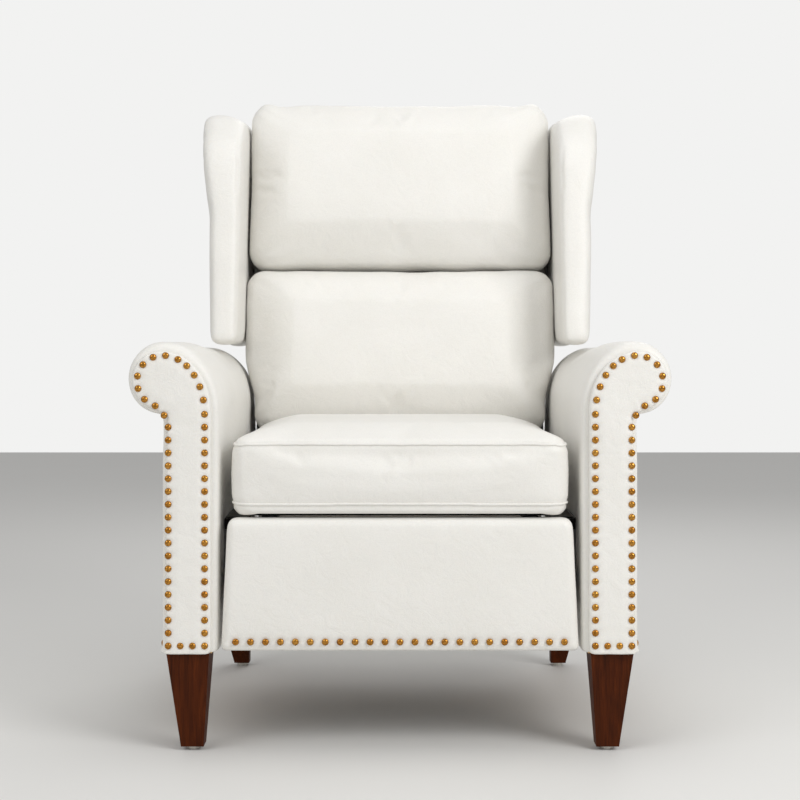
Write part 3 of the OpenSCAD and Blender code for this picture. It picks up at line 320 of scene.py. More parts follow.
# depth behind the fronts, and inset of the outline there, from the back to the face
PANEL_LEVELS = ((0.0119, 0.008), (0.010, 0.0063), (0.004, 0.006), (0.0012, 0.0072), (0.0, 0.0095))
PANEL_DOME = 0.0018
PANEL_RIM = 0.020  # the dome rises over this width
DIMPLE = 0.0020
DIMPLE_R = 0.0065
for side, s in (("right", 1), ("left", -1)):
    rings = [[Vector((s * x, FRONT + v, z)) for x, z in arm_outline(inset)] for v, inset in PANEL_LEVELS]
    panel = loft(f"arm_front_{side}", rings, hide)
    remesh(panel, 0.0026, 3)
    rim = nearest([(s * x, z) for x, z in arm_outline(0.006)])
    spots = nearest(nail_spots(s))
    for v in panel.data.vertices:
        if v.co.y > FRONT + 0.006:
            continue
        p = (v.co.x, 0, v.co.z)
        inside = min(1, rim.find(p)[2] / PANEL_RIM)
        d = spots.find(p)[2]
        v.co.y -= PANEL_DOME * inside
        v.co.y += DIMPLE * math.exp(-(d / DIMPLE_R) ** 2) + 0.0004 * noise.noise(Vector(p) * 60)
    pad(panel, "base", f"arm_panel_{side}")


# Nails
# Antique brass domes, about 10 mm wide, dark in their undercut and worn bright on top.
# Geometry nodes set one dome on each marked spot, and one object per row rides its body.
def brass(name):
    """Dark and golden patches, polished unevenly."""
    m, t, co = blank(name)
    n = add(t, "ShaderNodeTexNoise", Vector=co, Scale=420.0, Detail=3.0)
    big = add(t, "ShaderNodeTexNoise", Vector=co, Scale=26.0, Detail=1.0)
    c = add(t, "ShaderNodeMix", MULTIPLY, _0=0.7,
            _6=ramp(t, n.outputs["Fac"], (0.3, "#8F6322"), (0.7, "#DDA552")),
            _7=ramp(t, big.outputs["Fac"], (0.3, "#D8B890"), (0.7, "#FFFFFF")))
    b = add(t, "ShaderNodeBump", Height=n.outputs["Fac"], Strength=0.15, Distance=0.0004)
    r = ramp(t, n.outputs["Fac"], (0.3, 0.32), (0.7, 0.20))
    show(t, add(t, "ShaderNodeBsdfPrincipled", Base_Color=c.outputs[2], Roughness=r, Metallic=1.0,
                Normal=b.outputs["Normal"]))
    return m


antique = brass("antique_brass")


def dome_nodes():
    """A node group: a flattened dome on every point, turned to one side."""
    g = bpy.data.node_groups.new("domes", "GeometryNodeTree")
    i = g.interface
    i.new_socket("Geometry", in_out="INPUT", socket_type="NodeSocketGeometry")
    for nm, kind in (("Radius", "Float"), ("Flatness", "Float"), ("Turn", "Vector"), ("Metal", "Material")):
        i.new_socket(nm, in_out="INPUT", socket_type="NodeSocket" + kind)
    i.new_socket("Geometry", in_out="OUTPUT", socket_type="NodeSocketGeometry")
    inp = add(g, "NodeGroupInput")
    ball = add(g, "GeometryNodeMeshUVSphere", Segments=20, Rings=10, Radius=inp.outputs["Radius"])
    scale = add(g, "ShaderNodeCombineXYZ", X=1.0, Y=1.0, Z=inp.outputs["Flatness"])
    flat = add(g, "GeometryNodeTransform", Geometry=ball.outputs["Mesh"], Scale=scale.outputs[0])
    on = add(g, "GeometryNodeInstanceOnPoints", Points=inp.outputs["Geometry"], Instance=flat.outputs[0],
             Rotation=inp.outputs["Turn"])
    real = add(g, "GeometryNodeRealizeInstances", Geometry=on.outputs[0])
    soft = add(g, "GeometryNodeSetShadeSmooth", Geometry=real.outputs[0])
    mat = add(g, "GeometryNodeSetMaterial", Geometry=soft.outputs[0], Material=inp.outputs["Metal"])
    out = add(g, "NodeGroupOutput")
    g.links.new(mat.outputs[0], out.inputs[0])
    return g


domes = dome_nodes()
NAIL_R = 0.0052
NAIL_FLAT = 0.62


def nails(name, rows, body, nodes):
    """rows: (points, turn). Each row runs through the dome nodes, and all rows become one piece."""
    bm = bmesh.new()
    for pts, turn in rows:
        row = piece(name + "_row", pts, [], None, smooth=False)
        m = row.modifiers.new("domes", "NODES")
        m.node_group = domes
        ids = {s.name: s.identifier for s in domes.interface.items_tree if s.in_out == "INPUT"}
        for key, value in (("Radius", NAIL_R), ("Flatness", NAIL_FLAT), ("Turn", turn), ("Metal", antique)):
            m[ids[key]] = value
        apply_all(row)
        bm.from_mesh(row.data)
        bpy.data.objects.remove(row)
    me = bpy.data.meshes.new(name)
    bm.to_mesh(me)
    bm.free()
    me.materials.append(antique)
    me.shade_smooth()
    ob = bpy.data.objects.new(name, me)
    bpy.context.scene.collection.objects.link(ob)
    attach(ob, body)
    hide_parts(*nodes)


QUARTER = math.pi / 2
FOOT_PITCH = 0.0223
FOOT_NAIL_Z = 0.166
FOOT_NAIL_NUMBERS = range(-11, 12)  # counted from the middle
SIDE_NAILS = 35
SIDE_NAIL_START = 0.026
fronts = [Vector((x, FRONT - 0.0002, z)) for s in (1, -1) for x, z in nail_spots(s)]
sides = [[Vector((s * (OUT + 0.0005), FRONT + SIDE_NAIL_START + NAIL_PITCH * i, NAIL_Z))
          for i in range(SIDE_NAILS)] for s in (1, -1)]
nails("arm_nail_heads", [(fronts, (QUARTER, 0, 0))] + [(row, (0, QUARTER, 0)) for row in sides], "base",
      ["arm_nails"])
foot_row = [Vector((FOOT_PITCH * i, FRONT - 0.0012, FOOT_NAIL_Z)) for i in FOOT_NAIL_NUMBERS]
nails("foot_nail_heads", [(foot_row, (QUARTER, 0, 0))], "footrest", ["foot_nails"])


# Seat cushion
# A boxed cushion: a thin welt runs round the top and the bottom of its boxing, the top
# is crowned, the front bulges a little and the underside is drawn in below the lower welt.
def swell(ob, pressure, cap, soft, hold):
    """Remesh, blow up as cloth and cap how far each point moves. hold(p) is the share of the move kept."""
    remesh(ob, 0.006, soft)
    rest = [v.co.copy() for v in ob.data.vertices]
    c = ob.modifiers.new("cloth", "CLOTH")
    s = c.settings
    s.use_pressure = True
    s.uniform_pressure_force = pressure
    s.effector_weights.gravity = 0.0
    s.bending_stiffness = 2.0
    s.quality = 4
    c.collision_settings.use_collision = False
    c.point_cache.frame_start = 1
    c.point_cache.frame_end = 20
    sc = bpy.context.scene
    for f in range(1, 21):
        sc.frame_set(f)
    dg = bpy.context.evaluated_depsgraph_get()
    out = ob.evaluated_get(dg).data
    moved = [v.co.copy() for v in out.vertices]
    ob.modifiers.clear()
    sc.frame_set(1)
    for v, a, b in zip(ob.data.vertices, rest, moved):
        d = b - a
        k = d.length
        v.co = a + d * (cap * math.tanh(k / cap) / k if k > 1e-9 else 0) * hold(a)
    ob.data.update()


def rounded(half_x, half_y, r, step=0.006):
    """A rectangle with round corners as evenly spaced (x, y) points."""
    n = max(4, round(r * math.pi / 2 / step))
    pts = []
    for cx, cy, a0 in ((half_x - r, half_y - r, 0), (r - half_x, half_y - r, 90),
                       (r - half_x, r - half_y, 180), (half_x - r, r - half_y, 270)):
        pts += [arc(cx, cy, r, r, a0 + 90 * k / n) for k in range(n + 1)]
    out = []
    for i, p in enumerate(pts):
        q = pts[(i + 1) % len(pts)]
        m = max(1, round(math.dist(p, q) / step))
        out += [(p[0] + (q[0] - p[0]) * k / m, p[1] + (q[1] - p[1]) * k / m) for k in range(m)]
    return out


def box_rings(half_x, half_y, r, levels):
    """Rings of a rounded box, each level an inset and a height; all rings keep their number of points."""
    base = rounded(half_x, half_y, r)
    return [[Vector((x * (half_x - d) / half_x, y * (half_y - d) / half_y, z)) for x, y in base]
            for d, z in levels]


def tube(name, pts, radius, material, sides=8):
    """A closed round cord along these points, such as a welt."""
    n = len(pts)
    turns = [2 * math.pi * k / sides for k in range(sides)]
    rings = []
    up = Vector((0, 0, 1))
    for i, p in enumerate(pts):
        d = (pts[(i + 1) % n] - pts[(i - 1) % n]).normalized()
        s = d.cross(up) if abs(d.z) < 0.95 else d.cross(Vector((1, 0, 0)))
        s.normalize()
        q = s.cross(d).normalized()
        rings.append([p + (s * math.cos(a) + q * math.sin(a)) * radius for a in turns])
    rings.append(rings[0])
    return loft(name, rings, material, caps=False)


def on_surface(ob, pts, lift=0.0):
    """These points moved to the nearest place on the piece, and lifted along its normal."""
    tree = BVHTree.FromPolygons([v.co for v in ob.data.vertices], [p.vertices for p in ob.data.polygons])
    out = []
    for p in pts:
        q, nrm, _, _ = tree.find_nearest(p)
        out.append(q + nrm * lift)
    return out


def groove(ob, pts, width, depth):
    """Pulls the skin in along a seam line."""
    tree = KDTree(len(pts))
    for i, p in enumerate(pts):
        tree.insert(p, i)
    tree.balance()
    for v in ob.data.vertices:
        d = tree.find(v.co)[2]
        if d < width:
            v.co -= v.normal * depth * (0.5 + 0.5 * math.cos(math.pi * d / width))
    ob.data.update()


SEAT_LOW = 0.369  # the lower welt
SEAT_TOP = 0.463  # the upper welt
SEAT_UNDER = 0.3535
SEAT_CROWN = 0.4905
SEAT_HALF = 0.2555
SEAT_HALF_DEEP = 0.249
SEAT_MID = FRONT + 0.252
# how far the swollen cushion may reach to its sides, its front and its rear
SEAT_SIDE_LIMIT = 0.2595
SEAT_FRONT_LIMIT = 0.2545
SEAT_REAR_LIMIT = 0.251
SEAT_SAG = 0.0016
# inset and height, from the roof of the recess round the underside and the boxing to the crown
SEAT_LEVELS = [(0.014, 0.404), (0.014, 0.3525), (0.009, 0.3515), (0.003, 0.3575), (0.000, SEAT_LOW),
               (0.000, 0.380), (-0.001, 0.416), (0.000, 0.452), (0.001, SEAT_TOP - 0.002), (0.010, 0.4665),
               (0.040, 0.472), (0.090, 0.476), (0.150, 0.478)]
seat = loft("seat_pad", box_rings(SEAT_HALF - 0.001, SEAT_HALF_DEEP, 0.030, SEAT_LEVELS), hide)


def seat_share(p):
    """Nothing moves in the recess; the welts hold the seams; the faces between them swell."""
    if p.z < 0.41 and abs(p.x) < 0.243 and abs(p.y) < 0.238:
        return 0
    crown = ramped(min(SEAT_HALF - abs(p.x), SEAT_HALF_DEEP - abs(p.y)), 0, 0.20) ** 0.8
    side = ramped(min(SEAT_TOP - p.z, p.z - SEAT_LOW), 0, 0.035) * (0.3 if abs(p.x) > 0.235 else 1)
    return 0.10 + 0.90 * max(crown, side)


swell(seat, 4.0, 0.022, 4, seat_share)
for v in seat.data.vertices:
    p = v.co
    # crowned top, seams that hold the edges, and the soft sags between them
    top = max(0, min(1, (p.z - 0.455) / 0.02))
    ex = max(0, 1 - (p.x / 0.256) ** 2)
    ey = max(0, 1 - (p.y / 0.252) ** 2)
    p.z += top * (0.008 * (ex * ey) ** 0.5 + SEAT_SAG * noise.noise(p * 9))
    p.z = max(SEAT_UNDER, min(p.z, SEAT_CROWN))
    p.x = max(-SEAT_SIDE_LIMIT, min(SEAT_SIDE_LIMIT, p.x))
    p.y = max(-SEAT_FRONT_LIMIT, min(SEAT_REAR_LIMIT, p.y))
seat.data.transform(Matrix.Translation((0, SEAT_MID, 0)))


def welt_line(z, step):
    """The seam round the cushion at this height."""
    return [Vector((x, SEAT_MID + y, z)) for x, y in rounded(SEAT_HALF + 0.004, 0.2515, 0.032, step)]


WELTS = ((SEAT_TOP, "top"), (SEAT_LOW + 0.001, "low"))
WELT_R = 0.0020
for z, name in WELTS:
    groove(seat, on_surface(seat, welt_line(z, 0.008)), 0.010, 0.0028)
subdivide(seat)
for z, name in WELTS:
    welt = tube(f"seat_welt_{name}", on_surface(seat, welt_line(z, 0.006), 0.0006), WELT_R, hide)
    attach(welt, "seat")
pad(seat, "seat", "seat_cushion")


# Back cushions
# The lumbar cushion and the head cushion are loose-looking pillows: full in the middle,
# drawn in along their sides, with soft gathers that run in from the corners.
LEAN = math.radians(14)
BACK_FOOT = 0.330  # height of the back's own origin
BACK = Matrix.Translation((0, FRONT + 0.575, BACK_FOOT)) @ Matrix.Rotation(-LEAN, 4, "X")
PILLOW_REAR = 0.0385
PILLOW_EDGE = 0.104
PILLOW_CORNER = 0.034
PILLOW_FACE = -0.150  # the fullest place that is allowed
GATHER = 0.0022  # depth of the folds at the corners
PILLOW_SAG = 0.0020
PILLOW_WAVE = 0.0022  # how far the side rims wave
# inset and distance before the back's plane, from the rear round the rim to the face
PILLOW_LEVELS = [(0.010, PILLOW_REAR), (0.002, PILLOW_REAR + 0.006), (0.0, PILLOW_REAR + 0.018),
                 (0.0, PILLOW_EDGE - 0.026), (0.003, PILLOW_EDGE - 0.014), (0.010, PILLOW_EDGE - 0.004),
                 (0.024, PILLOW_EDGE + 0.002), (0.06, PILLOW_EDGE + 0.006), (0.11, PILLOW_EDGE + 0.008)]


def pillow(name, low, high, half_low, half_top, node, crown, seed, ears=0.0, rise=0.0005):
    """A back cushion in the back's own frame: x across, y to the rear, z up along the back."""
    hz = (high - low) / 2
    mid = (high + low) / 2

    def half(t):
        """Half the width at this share of the height: narrow between the arms, wider above them."""
        return half_low + (half_top - half_low) * ramped(t, 0.20, 0.24)

    rings = box_rings(1.0, hz - 0.0005, PILLOW_CORNER, PILLOW_LEVELS)
    for level, (inset, _) in zip(rings, PILLOW_LEVELS):
        # the straight runs of the unit outline stretch to the cushion's width, the corners keep their size
        run = (1.0 - PILLOW_CORNER) * (1.0 - inset)
        for p in level:
            w = half((p.y / (2 * hz)) + 0.5) - 0.0005 - inset
            a = abs(p.x)
            p.x = math.copysign(max(0, a - run) + (w - PILLOW_CORNER) * min(1, a / run), p.x)
    ob = loft(name, [[Vector((p.x, -p.z, p.y + mid)) for p in level] for level in rings], hide)

    def share(p):
        """The seams hold the rim; the middle of the front swells freely."""
        inside = min(half_low - abs(p.x), hz - abs(p.z - mid))
        return ramped(-p.y, PILLOW_REAR, 0.03) * (0.12 + 0.88 * ramped(inside, 0, 0.075))

    swell(ob, 4.0, 0.026, 5, share)
    for v in ob.data.vertices:
        p = v.co
        t = (p.z - mid) / hz
        s = p.x / half_top
        front = ramped(-p.y, 0.085, 0.03)
        ex = max(0, 1 - s * s)
        ez = max(0, 1 - t * t)
        p.y -= front * crown * (ex * ez) ** 0.45
        # gathers run in from the corners, finer near the rim
        r = math.hypot(abs(s) - 1, abs(t) - 1)
        ang = math.atan2(abs(t) - 1, abs(s) - 1)
        fold = math.sin(ang * 13 + seed + 5 * noise.noise(p * 12))
        p.y += front * GATHER * math.exp(-(r / 0.30) ** 2) * fold
        p.y += front * PILLOW_SAG * noise.noise(Vector((p.x * 6, seed, p.z * 7)))
        # the rim waves a little
        wave = PILLOW_WAVE * noise.noise(Vector((seed, p.y * 14, p.z * 22)))
        p.x += math.copysign(wave, p.x) * min(1, abs(s) * 1.5)
        p.z += (0.0026 * noise.noise(Vector((p.x * 16, p.y * 12, seed)))) * min(1, abs(t) * 1.2)
        # ears: the upper corners stand up, with a shallow dip beside them
        if ears:
            p.z += max(0, t) ** 4 * (ears * math.exp(-((abs(s) - 0.90) / 0.05) ** 2)
                                     - ears / 2 * math.exp(-((abs(s) - 0.76) / 0.06) ** 2))
        lim = half(t / 2 + 0.5) + 0.0005
        p.x = max(-lim, min(lim, p.x))
        p.z = max(low - 0.0005, min(high + rise, p.z))
        p.y = max(PILLOW_FACE, p.y)
    subdivide(ob)
    ob.data.transform(BACK)
    pad(ob, "back", node)


pillow("lumbar_pad", 0.106, 0.4155, 0.2675, 0.2865, "lumbar_cushion", 0.010, 2.0)
pillow("head_pad", 0.4165, 0.7455, 0.2835, 0.2835, "head_cushion", 0.008, 5.0, ears=0.004, rise=0.004)


# Wings
# Padded side wings whose front edge is a soft rounded roll. They stand on the level line
# just above the arms, lean with the back and flare outwards towards their domed tops.
def soft_corners(corners, radii, step=0.006):
    """A convex outline as (point, outward normal) pairs with its corners rounded."""
    n = len(corners)
    pts = []
    for i, (c, r) in enumerate(zip(corners, radii)):
        c = Vector(c)
        a, b = Vector(corners[i - 1]) - c, Vector(corners[(i + 1) % n]) - c
        half = a.angle(b) / 2
        cut = min(r / math.tan(half), a.length * 0.49, b.length * 0.49)
        p, q = c + a.normalized() * cut, c + b.normalized() * cut
        m = max(3, round(r * (math.pi - 2 * half) / step))
        for k in range(m + 1):
            t = k / m
            pts.append(p * (1 - t) ** 2 + c * 2 * t * (1 - t) + q * t * t)
    out = []
    for i, p in enumerate(pts):
        q = pts[(i + 1) % len(pts)]
        m = max(1, round((q - p).length / step))
        out += [p.lerp(q, k / m) for k in range(m)]
    n = len(out)
    mid = sum(out, Vector((0, 0))) / n
    res = []
    for i, p in enumerate(out):
        d = out[(i + 1) % n] - out[i - 1]
        nrm = Vector((d.y, -d.x)).normalized()
        res.append((p, nrm if nrm.dot(p - mid) > 0 else -nrm))
    return res


WING_LOW = 0.610


def wing_low(y):
    """Height along the back of the wings' level lower edge."""
    return (WING_LOW - BACK_FOOT + y * math.sin(LEAN)) / math.cos(LEAN)


W_FRONT = -0.238
W_REAR = 0.062
W_IN = 0.2865
W_OUT = 0.3325
W_BELLY = 0.008
W_FLARE = 0.0245
W_DOME = 0.013
B_TOP = 0.739
side_line = soft_corners([(W_FRONT, wing_low(W_FRONT)), (W_REAR, wing_low(W_REAR)), (W_REAR, B_TOP - 0.024),
                          (W_REAR - 0.070, B_TOP + 0.008), (W_FRONT + 0.074, B_TOP - 0.044),
                          (W_FRONT, B_TOP - 0.136)], [0.018, 0.006, 0.03, 0.09, 0.12, 0.14])
# share of the thickness, from the inner to the outer side, and inset of the outline there
WING_STEPS = ((0.0, 0.014), (0.06, 0.005), (0.14, 0.001), (0.30, 0.0), (0.50, 0.0), (0.74, 0.0005),
              (0.87, 0.003), (0.95, 0.007), (1.0, 0.013))


def wing_share(p):
    """The rear edge is nailed down, the outer side swells more than the inner one."""
    return ramped(W_REAR - p.y, 0, 0.05) * (0.2 if p.x < 0.29 else 0.45)


for side, s in (("right", 1), ("left", -1)):
    rings = []
    for k, inset in WING_STEPS:
        level = []
        for p, nrm in side_line:
            y, z = p - nrm * (inset if p.x < W_REAR - 0.004 else min(inset, 0.002))
            # the outer side flares, more in the upper half
            up = ramped(z, 0.27, 0.47)
            out = W_OUT + W_BELLY * min(1, up * 2) + W_FLARE * ramped(up, 0.45, 0.42)
            # the top is domed: it falls towards the head cushion
            z -= W_DOME * (1 - k) ** 2 * ramped(z, 0.60, 0.10)
            level.append(Vector((W_IN + k * (out - W_IN), y, z)))
        rings.append(level)
    wing = loft(f"wing_pad_{side}", rings, hide)
    swell(wing, 3.0, 0.008, 4, wing_share)
    for v in wing.data.vertices:
        p = v.co
        p.x += (0.0016 * noise.noise(Vector((s * 3, p.y * 12, p.z * 9)))) * (1 if p.x > 0.30 else 0)
        p.y += 0.0015 * noise.noise(Vector((p.x * 14, s * 5, p.z * 12))) * (1 if p.y < -0.1 else 0)
        p.x = min(0.3665, max(0.2845, p.x))
        p.y = max(W_FRONT - 0.003, min(W_REAR, p.y))
        p.z = max(p.z, wing_low(p.y) - 0.0005)
    # the seam that joins the inner panel to the front roll
    seam = [Vector((0.292, W_FRONT + 0.012, wing_low(W_FRONT) + 0.03 + 0.006 * k)) for k in range(58)]
    groove(wing, on_surface(wing, seam), 0.007, 0.0018)
    subdivide(wing)
    wing.data.transform(Matrix.Scale(s, 4, (1, 0, 0)))
    if s < 0:
        wing.data.flip_normals()
    wing.data.transform(BACK)
    pad(wing, "back", f"wing_{side}")


# Body and outside of the back
# The back's body carries the cushions and closes the gaps to the wings; its outside is one
# stretched panel with rounded rims.
def slab(name, half_outline, r, levels, node, bulge=0.0):
    """A padded panel in the back's frame: its right half mirrored, lofted through (inset, y) levels."""
    corners = [(-half_outline[0][0], half_outline[0][1])] + half_outline
    corners += [(-x, z) for x, z in half_outline[:0:-1]]
    line = soft_corners(corners, [r] * len(corners), 0.008)
    ob = loft(name, [[Vector((p.x - n.x * d, y, p.y - n.y * d)) for p, n in line] for d, y in levels], hide)
    remesh(ob, 0.006, 2)
    rear = max(y for _, y in levels)
    for v in ob.data.vertices:
        p = v.co
        w = 1 if p.y > rear - 0.004 else 0
        full = max(0, 1 - (p.x / 0.34) ** 2) ** 0.5
        p.y += w * (bulge * full + 0.0012 * noise.noise(Vector((p.x * 7, 2, p.z * 6))))
    ob.data.update()
    ob.data.transform(BACK)
    pad(ob, "back", node)


LOW_HALF = 0.2675  # between the arms
IN_HALF = 0.2835  # between the wings
slab("back_core", [(LOW_HALF, -0.028), (LOW_HALF, wing_low(0)), (IN_HALF, wing_low(0) + 0.03),
                   (IN_HALF, B_TOP - 0.044), (IN_HALF - 0.03, B_TOP - 0.016)], 0.012,
     [(0.002, 0.0265), (0.0, 0.034), (0.0, 0.061)], "back_body")
slab("back_outside", [(LOW_HALF, -0.128), (LOW_HALF, wing_low(0.05)), (0.330, wing_low(0.07) + 0.012),
                      (0.348, B_TOP - 0.120), (0.341, B_TOP - 0.05), (0.316, B_TOP - 0.026),
                      (0.20, B_TOP - 0.008)],
     0.014, [(0.003, 0.0625), (0.0, 0.066), (0.0, 0.074), (0.002, 0.080), (0.006, 0.084), (0.012, 0.0855)],
     "outside_back", 0.004)


# Footrest panel
# A padded board: flat and taut, softly rounded at its top corners, with the hide turned
# under in a lip that flares along the bottom, below the row of nails.
FOOT_LOW = 0.150
FOOT_HALF_LOW = 0.2685
FOOT_HALF_TOP = 0.266 - 0.009 + 0.002
FOOT_FACE_HALF = 0.262
FOOT_FACE_MID = 0.262
FOOT_FACE_RISE = 0.094
FOOT_DOME = 0.0035
FOOT_DIMPLE = 0.0016
LIP_H = 0.0075
LIP_FLARE = 0.0035
outline = soft_corners([(-FOOT_HALF_LOW, 0.1512), (FOOT_HALF_LOW, 0.1512), (FOOT_HALF_TOP, 0.3498),
                        (-FOOT_HALF_TOP, 0.3498)], [0.005, 0.005, 0.016, 0.016], 0.005)
# depth behind the fronts, and inset of the outline there, from the rear to the face
FOOT_LEVELS = ((0.0415, 0.006), (0.038, 0.002), (0.030, 0.0), (0.012, 0.0), (0.006, 0.0015), (0.0025, 0.005),
               (0.0005, 0.011))
foot = loft("foot_panel", [[Vector((x - nx * d, FRONT + v, z - nz * d)) for (x, z), (nx, nz) in outline]
                           for v, d in FOOT_LEVELS], hide)
remesh(foot, 0.004, 4)
for v in foot.data.vertices:
    p = v.co
    if p.y < FRONT + 0.008:
        # domed face, pulled in at each nail
        ex = max(0, 1 - (p.x / FOOT_FACE_HALF) ** 4)
        ez = max(0, 1 - abs((p.z - FOOT_FACE_MID) / FOOT_FACE_RISE) ** 3)
        near = min(abs(p.x - FOOT_PITCH * i) for i in FOOT_NAIL_NUMBERS)
        d = math.hypot(near, p.z - FOOT_NAIL_Z)
        p.y -= FOOT_DOME * (ex * ez) ** 0.5 + 0.0010 * noise.noise(Vector((p.x * 8, 4, p.z * 12))) * ex
        p.y += FOOT_DIMPLE * math.exp(-(d / 0.007) ** 2)
    if p.z < FOOT_LOW + LIP_H:
        # the lip flares forward
        p.y -= LIP_FLARE * (1 - (p.z - FOOT_LOW) / LIP_H) * (1 if p.y < FRONT + 0.02 else 0)
subdivide(foot)
pad(foot, "footrest", "foot_pad")


# Legs
# Tapered square legs of dark cherry-stained hardwood: straight grain runs down them, a
# dull satin finish, and softened edges.
def wood(name, dark, middle, pale, rough, scale=1.0):
    """Straight grain along z, from broad bands and fine pores."""
    m, t, co = blank(name)
    mp = add(t, "ShaderNodeMapping", Vector=co, Scale=(34.0 * scale, 34.0 * scale, 2.6 * scale))
    g = add(t, "ShaderNodeTexNoise", Vector=mp.outputs[0], Scale=2.2, Detail=6.0, Roughness=0.6,
            Distortion=0.6)
    mf = add(t, "ShaderNodeMapping", Vector=co, Scale=(420.0 * scale, 420.0 * scale, 9.0 * scale))
    f = add(t, "ShaderNodeTexNoise", Vector=mf.outputs[0], Scale=1.6, Detail=3.0)
    c = add(t, "ShaderNodeMix", MULTIPLY, _0=0.6,
            _6=ramp(t, g.outputs["Fac"], (0.30, dark), (0.52, middle), (0.72, pale)),
            _7=ramp(t, f.outputs["Fac"], (0.35, "#BCA894"), (0.55, "#FFFFFF")))
    b = add(t, "ShaderNodeBump", Height=f.outputs["Fac"], Strength=0.18, Distance=0.0005)
    r = ramp(t, g.outputs["Fac"], (0.3, rough + 0.08), (0.7, rough))
    show(t, add(t, "ShaderNodeBsdfPrincipled", Base_Color=c.outputs[2], Roughness=r,
                Normal=b.outputs["Normal"], Specular_IOR_Level=0.12))
    return m


def dress(nodes, material, bevel=0.0):
    """CAD nodes keep their shape and get a finished material, with softened edges where asked."""
    for node in nodes:
        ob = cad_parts[node]
        ob.data.materials.clear()
        ob.data.materials.append(material)
        if bevel:
            b = ob.modifiers.new("soft_edges", "BEVEL")
            b.width = bevel
            b.segments = 3
            b.limit_method = "ANGLE"
            b.harden_normals = False


cherry = wood("leg_cherry", "#341200", "#481C01", "#5A2604", 0.5)
legs = [f"leg_{end}_{side}" for side in ("right", "left") for end in ("front", "rear")]
dress(legs, cherry, 0.0016)


# Frame wood, steel and springs
# Raw kiln-dried hardwood rails, dark satin links, zinc-plated pins with a light haze,
# and oiled spring wire: all that shows from behind, from below and with the footrest out.
WOOD_EDGE = 0.0012
raw = wood("frame_hardwood", "#A98257", "#C7A273", "#D8B98C", 0.62, 0.6)
# near-black wood for the rails under the seat and the footrest board: partly the dark covering such frames
# have there, partly painted shade that makes the gaps round the cushions and the footrest black
dark_frame_and_gap_shade = wood("frame_dark_and_gap_shade", "#0B0A09", "#141110", "#1B1715", 0.7, 0.6)
dress(["front_rail", "seat_end_rails", "seat_side_rails", "foot_board", "deck_rail"], dark_frame_and_gap_shade,
      WOOD_EDGE)

# the back's frame shows between the head cushion and the outside: hide is folded over its
# edges, and its front, under the cushions, is near-black: painted shade for the gaps between the cushions and
# the wings
wrapped_hide_and_gap_shade = leather("frame_hide_wrap_and_gap_shade", crease=0.10)
t = wrapped_hide_and_gap_shade.node_tree
target = next(n for n in t.nodes if n.type == "OUTPUT_MATERIAL").inputs["Surface"]
skin = target.links[0].from_socket
co = add(t, "ShaderNodeTexCoord")
# the slightly mottled near-black where the frame faces forward is painted shade, darkening the gaps between
# the cushions and the wings
gap_shade_noise = add(t, "ShaderNodeTexNoise", Vector=co.outputs["Object"], Scale=900.0, Detail=2.0)
black = ramp(t, gap_shade_noise.outputs["Fac"], (0.3, "#0D0C0B"), (0.7, "#1D1B19"))
cloth = add(t, "ShaderNodeBsdfPrincipled", Base_Color=black, Roughness=0.85)
front = add(t, "ShaderNodeVectorMath", {"operation": "DOT_PRODUCT"}, _0=co.outputs["Normal"],
            _1=(0.0, -0.970, 0.242)).outputs["Value"]
gap_shade_mask = add(t, "ShaderNodeMath", {"operation": "GREATER_THAN"}, _0=front, _1=0.7).outputs[0]
t.links.new(add(t, "ShaderNodeMixShader", _0=gap_shade_mask, _1=skin, _2=cloth.outputs[0]).outputs[0], target)
dress(["back_posts", "back_rails"], wrapped_hide_and_gap_shade, WOOD_EDGE)
dress(["arm_frame_right", "arm_frame_left", "rear_rail"], raw, WOOD_EDGE)


def metal(name, dark, light, metallic, rough):
    """Brushed or painted metal, blotched softly and lighter on its worn edges."""
    m, t, co = blank(name)
    n = add(t, "ShaderNodeTexNoise", Vector=co, Scale=300.0, Detail=4.0)
    w = add(t, "ShaderNodeTexNoise", Vector=co, Scale=18.0, Detail=3.0, Roughness=0.65)
    e = add(t, "ShaderNodeNewGeometry").outputs["Pointiness"]
    c = add(t, "ShaderNodeMix", {"data_type": "RGBA", "blend_type": "SCREEN"}, _0=1.0,
            _6=ramp(t, w.outputs["Fac"], (0.3, dark), (0.7, light)), _7=ramp(t, e, (0.52, 0.0), (0.62, 0.12)))
    b = add(t, "ShaderNodeBump", Height=n.outputs["Fac"], Strength=0.08, Distance=0.0004)
    r = ramp(t, w.outputs["Fac"], (0.25, rough - 0.06), (0.75, rough + 0.10))
    show(t, add(t, "ShaderNodeBsdfPrincipled", Base_Color=c.outputs[2], Roughness=r, Metallic=metallic,
                Normal=b.outputs["Normal"]))
    return m


paint = metal("link_paint", "#1B1B1D", "#2A2A2C", 0.0, 0.36)
kinds = ("drive", "carrier", "guide", "tilt")
links = [f"{kind}_link_{side}" for side in ("right", "left") for kind in kinds]
dress(["plate_right", "plate_left", "slide_tracks", "seat_runners", "torque_tube", "back_brackets",
       "foot_brackets"] + links, paint)
zinc = metal("zinc_plate", "#A7A49B", "#D2CFC6", 1.0, 0.30)
dress(["glides", "hanger_bolts", "pivot_pins", "plate_fixings", "drive_rivets", "ear_rivets", "foot_rivets",
       "spring_clips"], zinc)
wire = metal("spring_wire", "#4A4A4C", "#777570", 1.0, 0.38)
dress(["seat_springs", "back_springs"], wire)


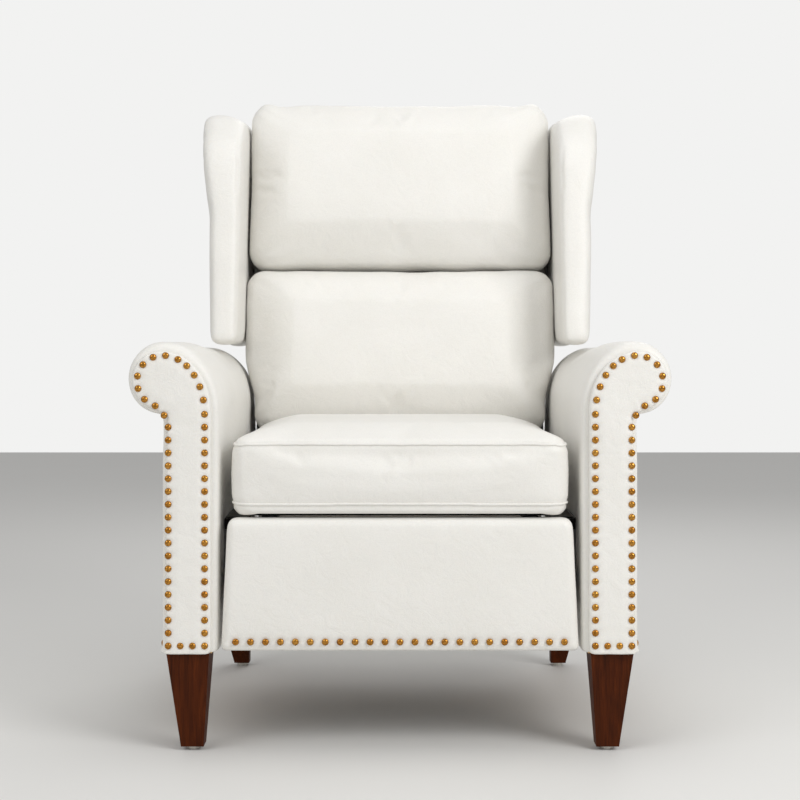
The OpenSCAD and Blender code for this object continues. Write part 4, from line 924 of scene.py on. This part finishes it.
# Camera, light and floor
# The photograph looks level at the chair from 2.4 m before the arm fronts, 0.594 m up.
# A pale studio: soft light from both sides, a white wall and a light grey floor.
cam = bpy.data.objects.new("camera", bpy.data.cameras.new("camera"))
bpy.context.scene.collection.objects.link(cam)
cam.location = (0.0, FRONT - 2.4, 0.594)
cam.rotation_euler = (QUARTER, 0, 0)
cam.data.lens = 72.4
cam.data.sensor_width = 36.0
cam.data.shift_y = -0.0562
bpy.context.scene.camera = cam
bpy.context.scene.view_settings.view_transform = "Standard"

floor = piece("floor", [(-6, -5, 0), (6, -5, 0), (6, 7, 0), (-6, 7, 0)], [[0, 1, 2, 3]], None, False)
paper = bpy.data.materials.new("floor_paper")
paper.use_nodes = True
t = paper.node_tree
sh = t.nodes["Principled BSDF"]
sh.inputs["Base Color"].default_value = srgb("#E4E3E0")
n = add(t, "ShaderNodeTexNoise", Vector=add(t, "ShaderNodeTexCoord").outputs["Object"], Scale=3.0, Detail=2.0)
t.links.new(ramp(t, n.outputs["Fac"], (0.2, 0.62), (0.8, 0.72)), sh.inputs["Roughness"])
floor.data.materials.append(paper)

# name, place, size in metres, power in watts, height of the place that it is turned to
LIGHTS = (("key", (2.2, -2.3, 2.2), 1.6, 53, 0.6), ("fill", (-2.0, -2.1, 2.2), 2.0, 21, 0.5),
          ("top", (0, -0.4, 2.9), 1.6, 11, 0.5), ("rim", (0.6, 2.4, 2.6), 1.6, 13, 0.7),
          ("low", (0, -3.2, 0.5), 1.6, 3, 0.3))
for name, place, size, power, aim in LIGHTS:
    d = bpy.data.lights.new(name, "AREA")
    d.size = size
    d.energy = power
    o = bpy.data.objects.new(name, d)
    o.location = place
    o.rotation_euler = (Vector((0, 0, aim)) - Vector(place)).to_track_quat("-Z", "Y").to_euler()
    bpy.context.scene.collection.objects.link(o)

world = bpy.data.worlds.new("studio")
bpy.context.scene.world = world
world.use_nodes = True
t = world.node_tree
t.nodes.clear()
ray = add(t, "ShaderNodeLightPath").outputs["Is Camera Ray"]
soft = add(t, "ShaderNodeBackground", Color=srgb("#FFFFFF"), Strength=0.47)
seen = add(t, "ShaderNodeBackground", Color=srgb("#F2F2F1"), Strength=1.0)
mix = add(t, "ShaderNodeMixShader", _0=ray, _1=soft.outputs[0], _2=seen.outputs[0])
t.links.new(mix.outputs[0], add(t, "ShaderNodeOutputWorld").inputs["Surface"])
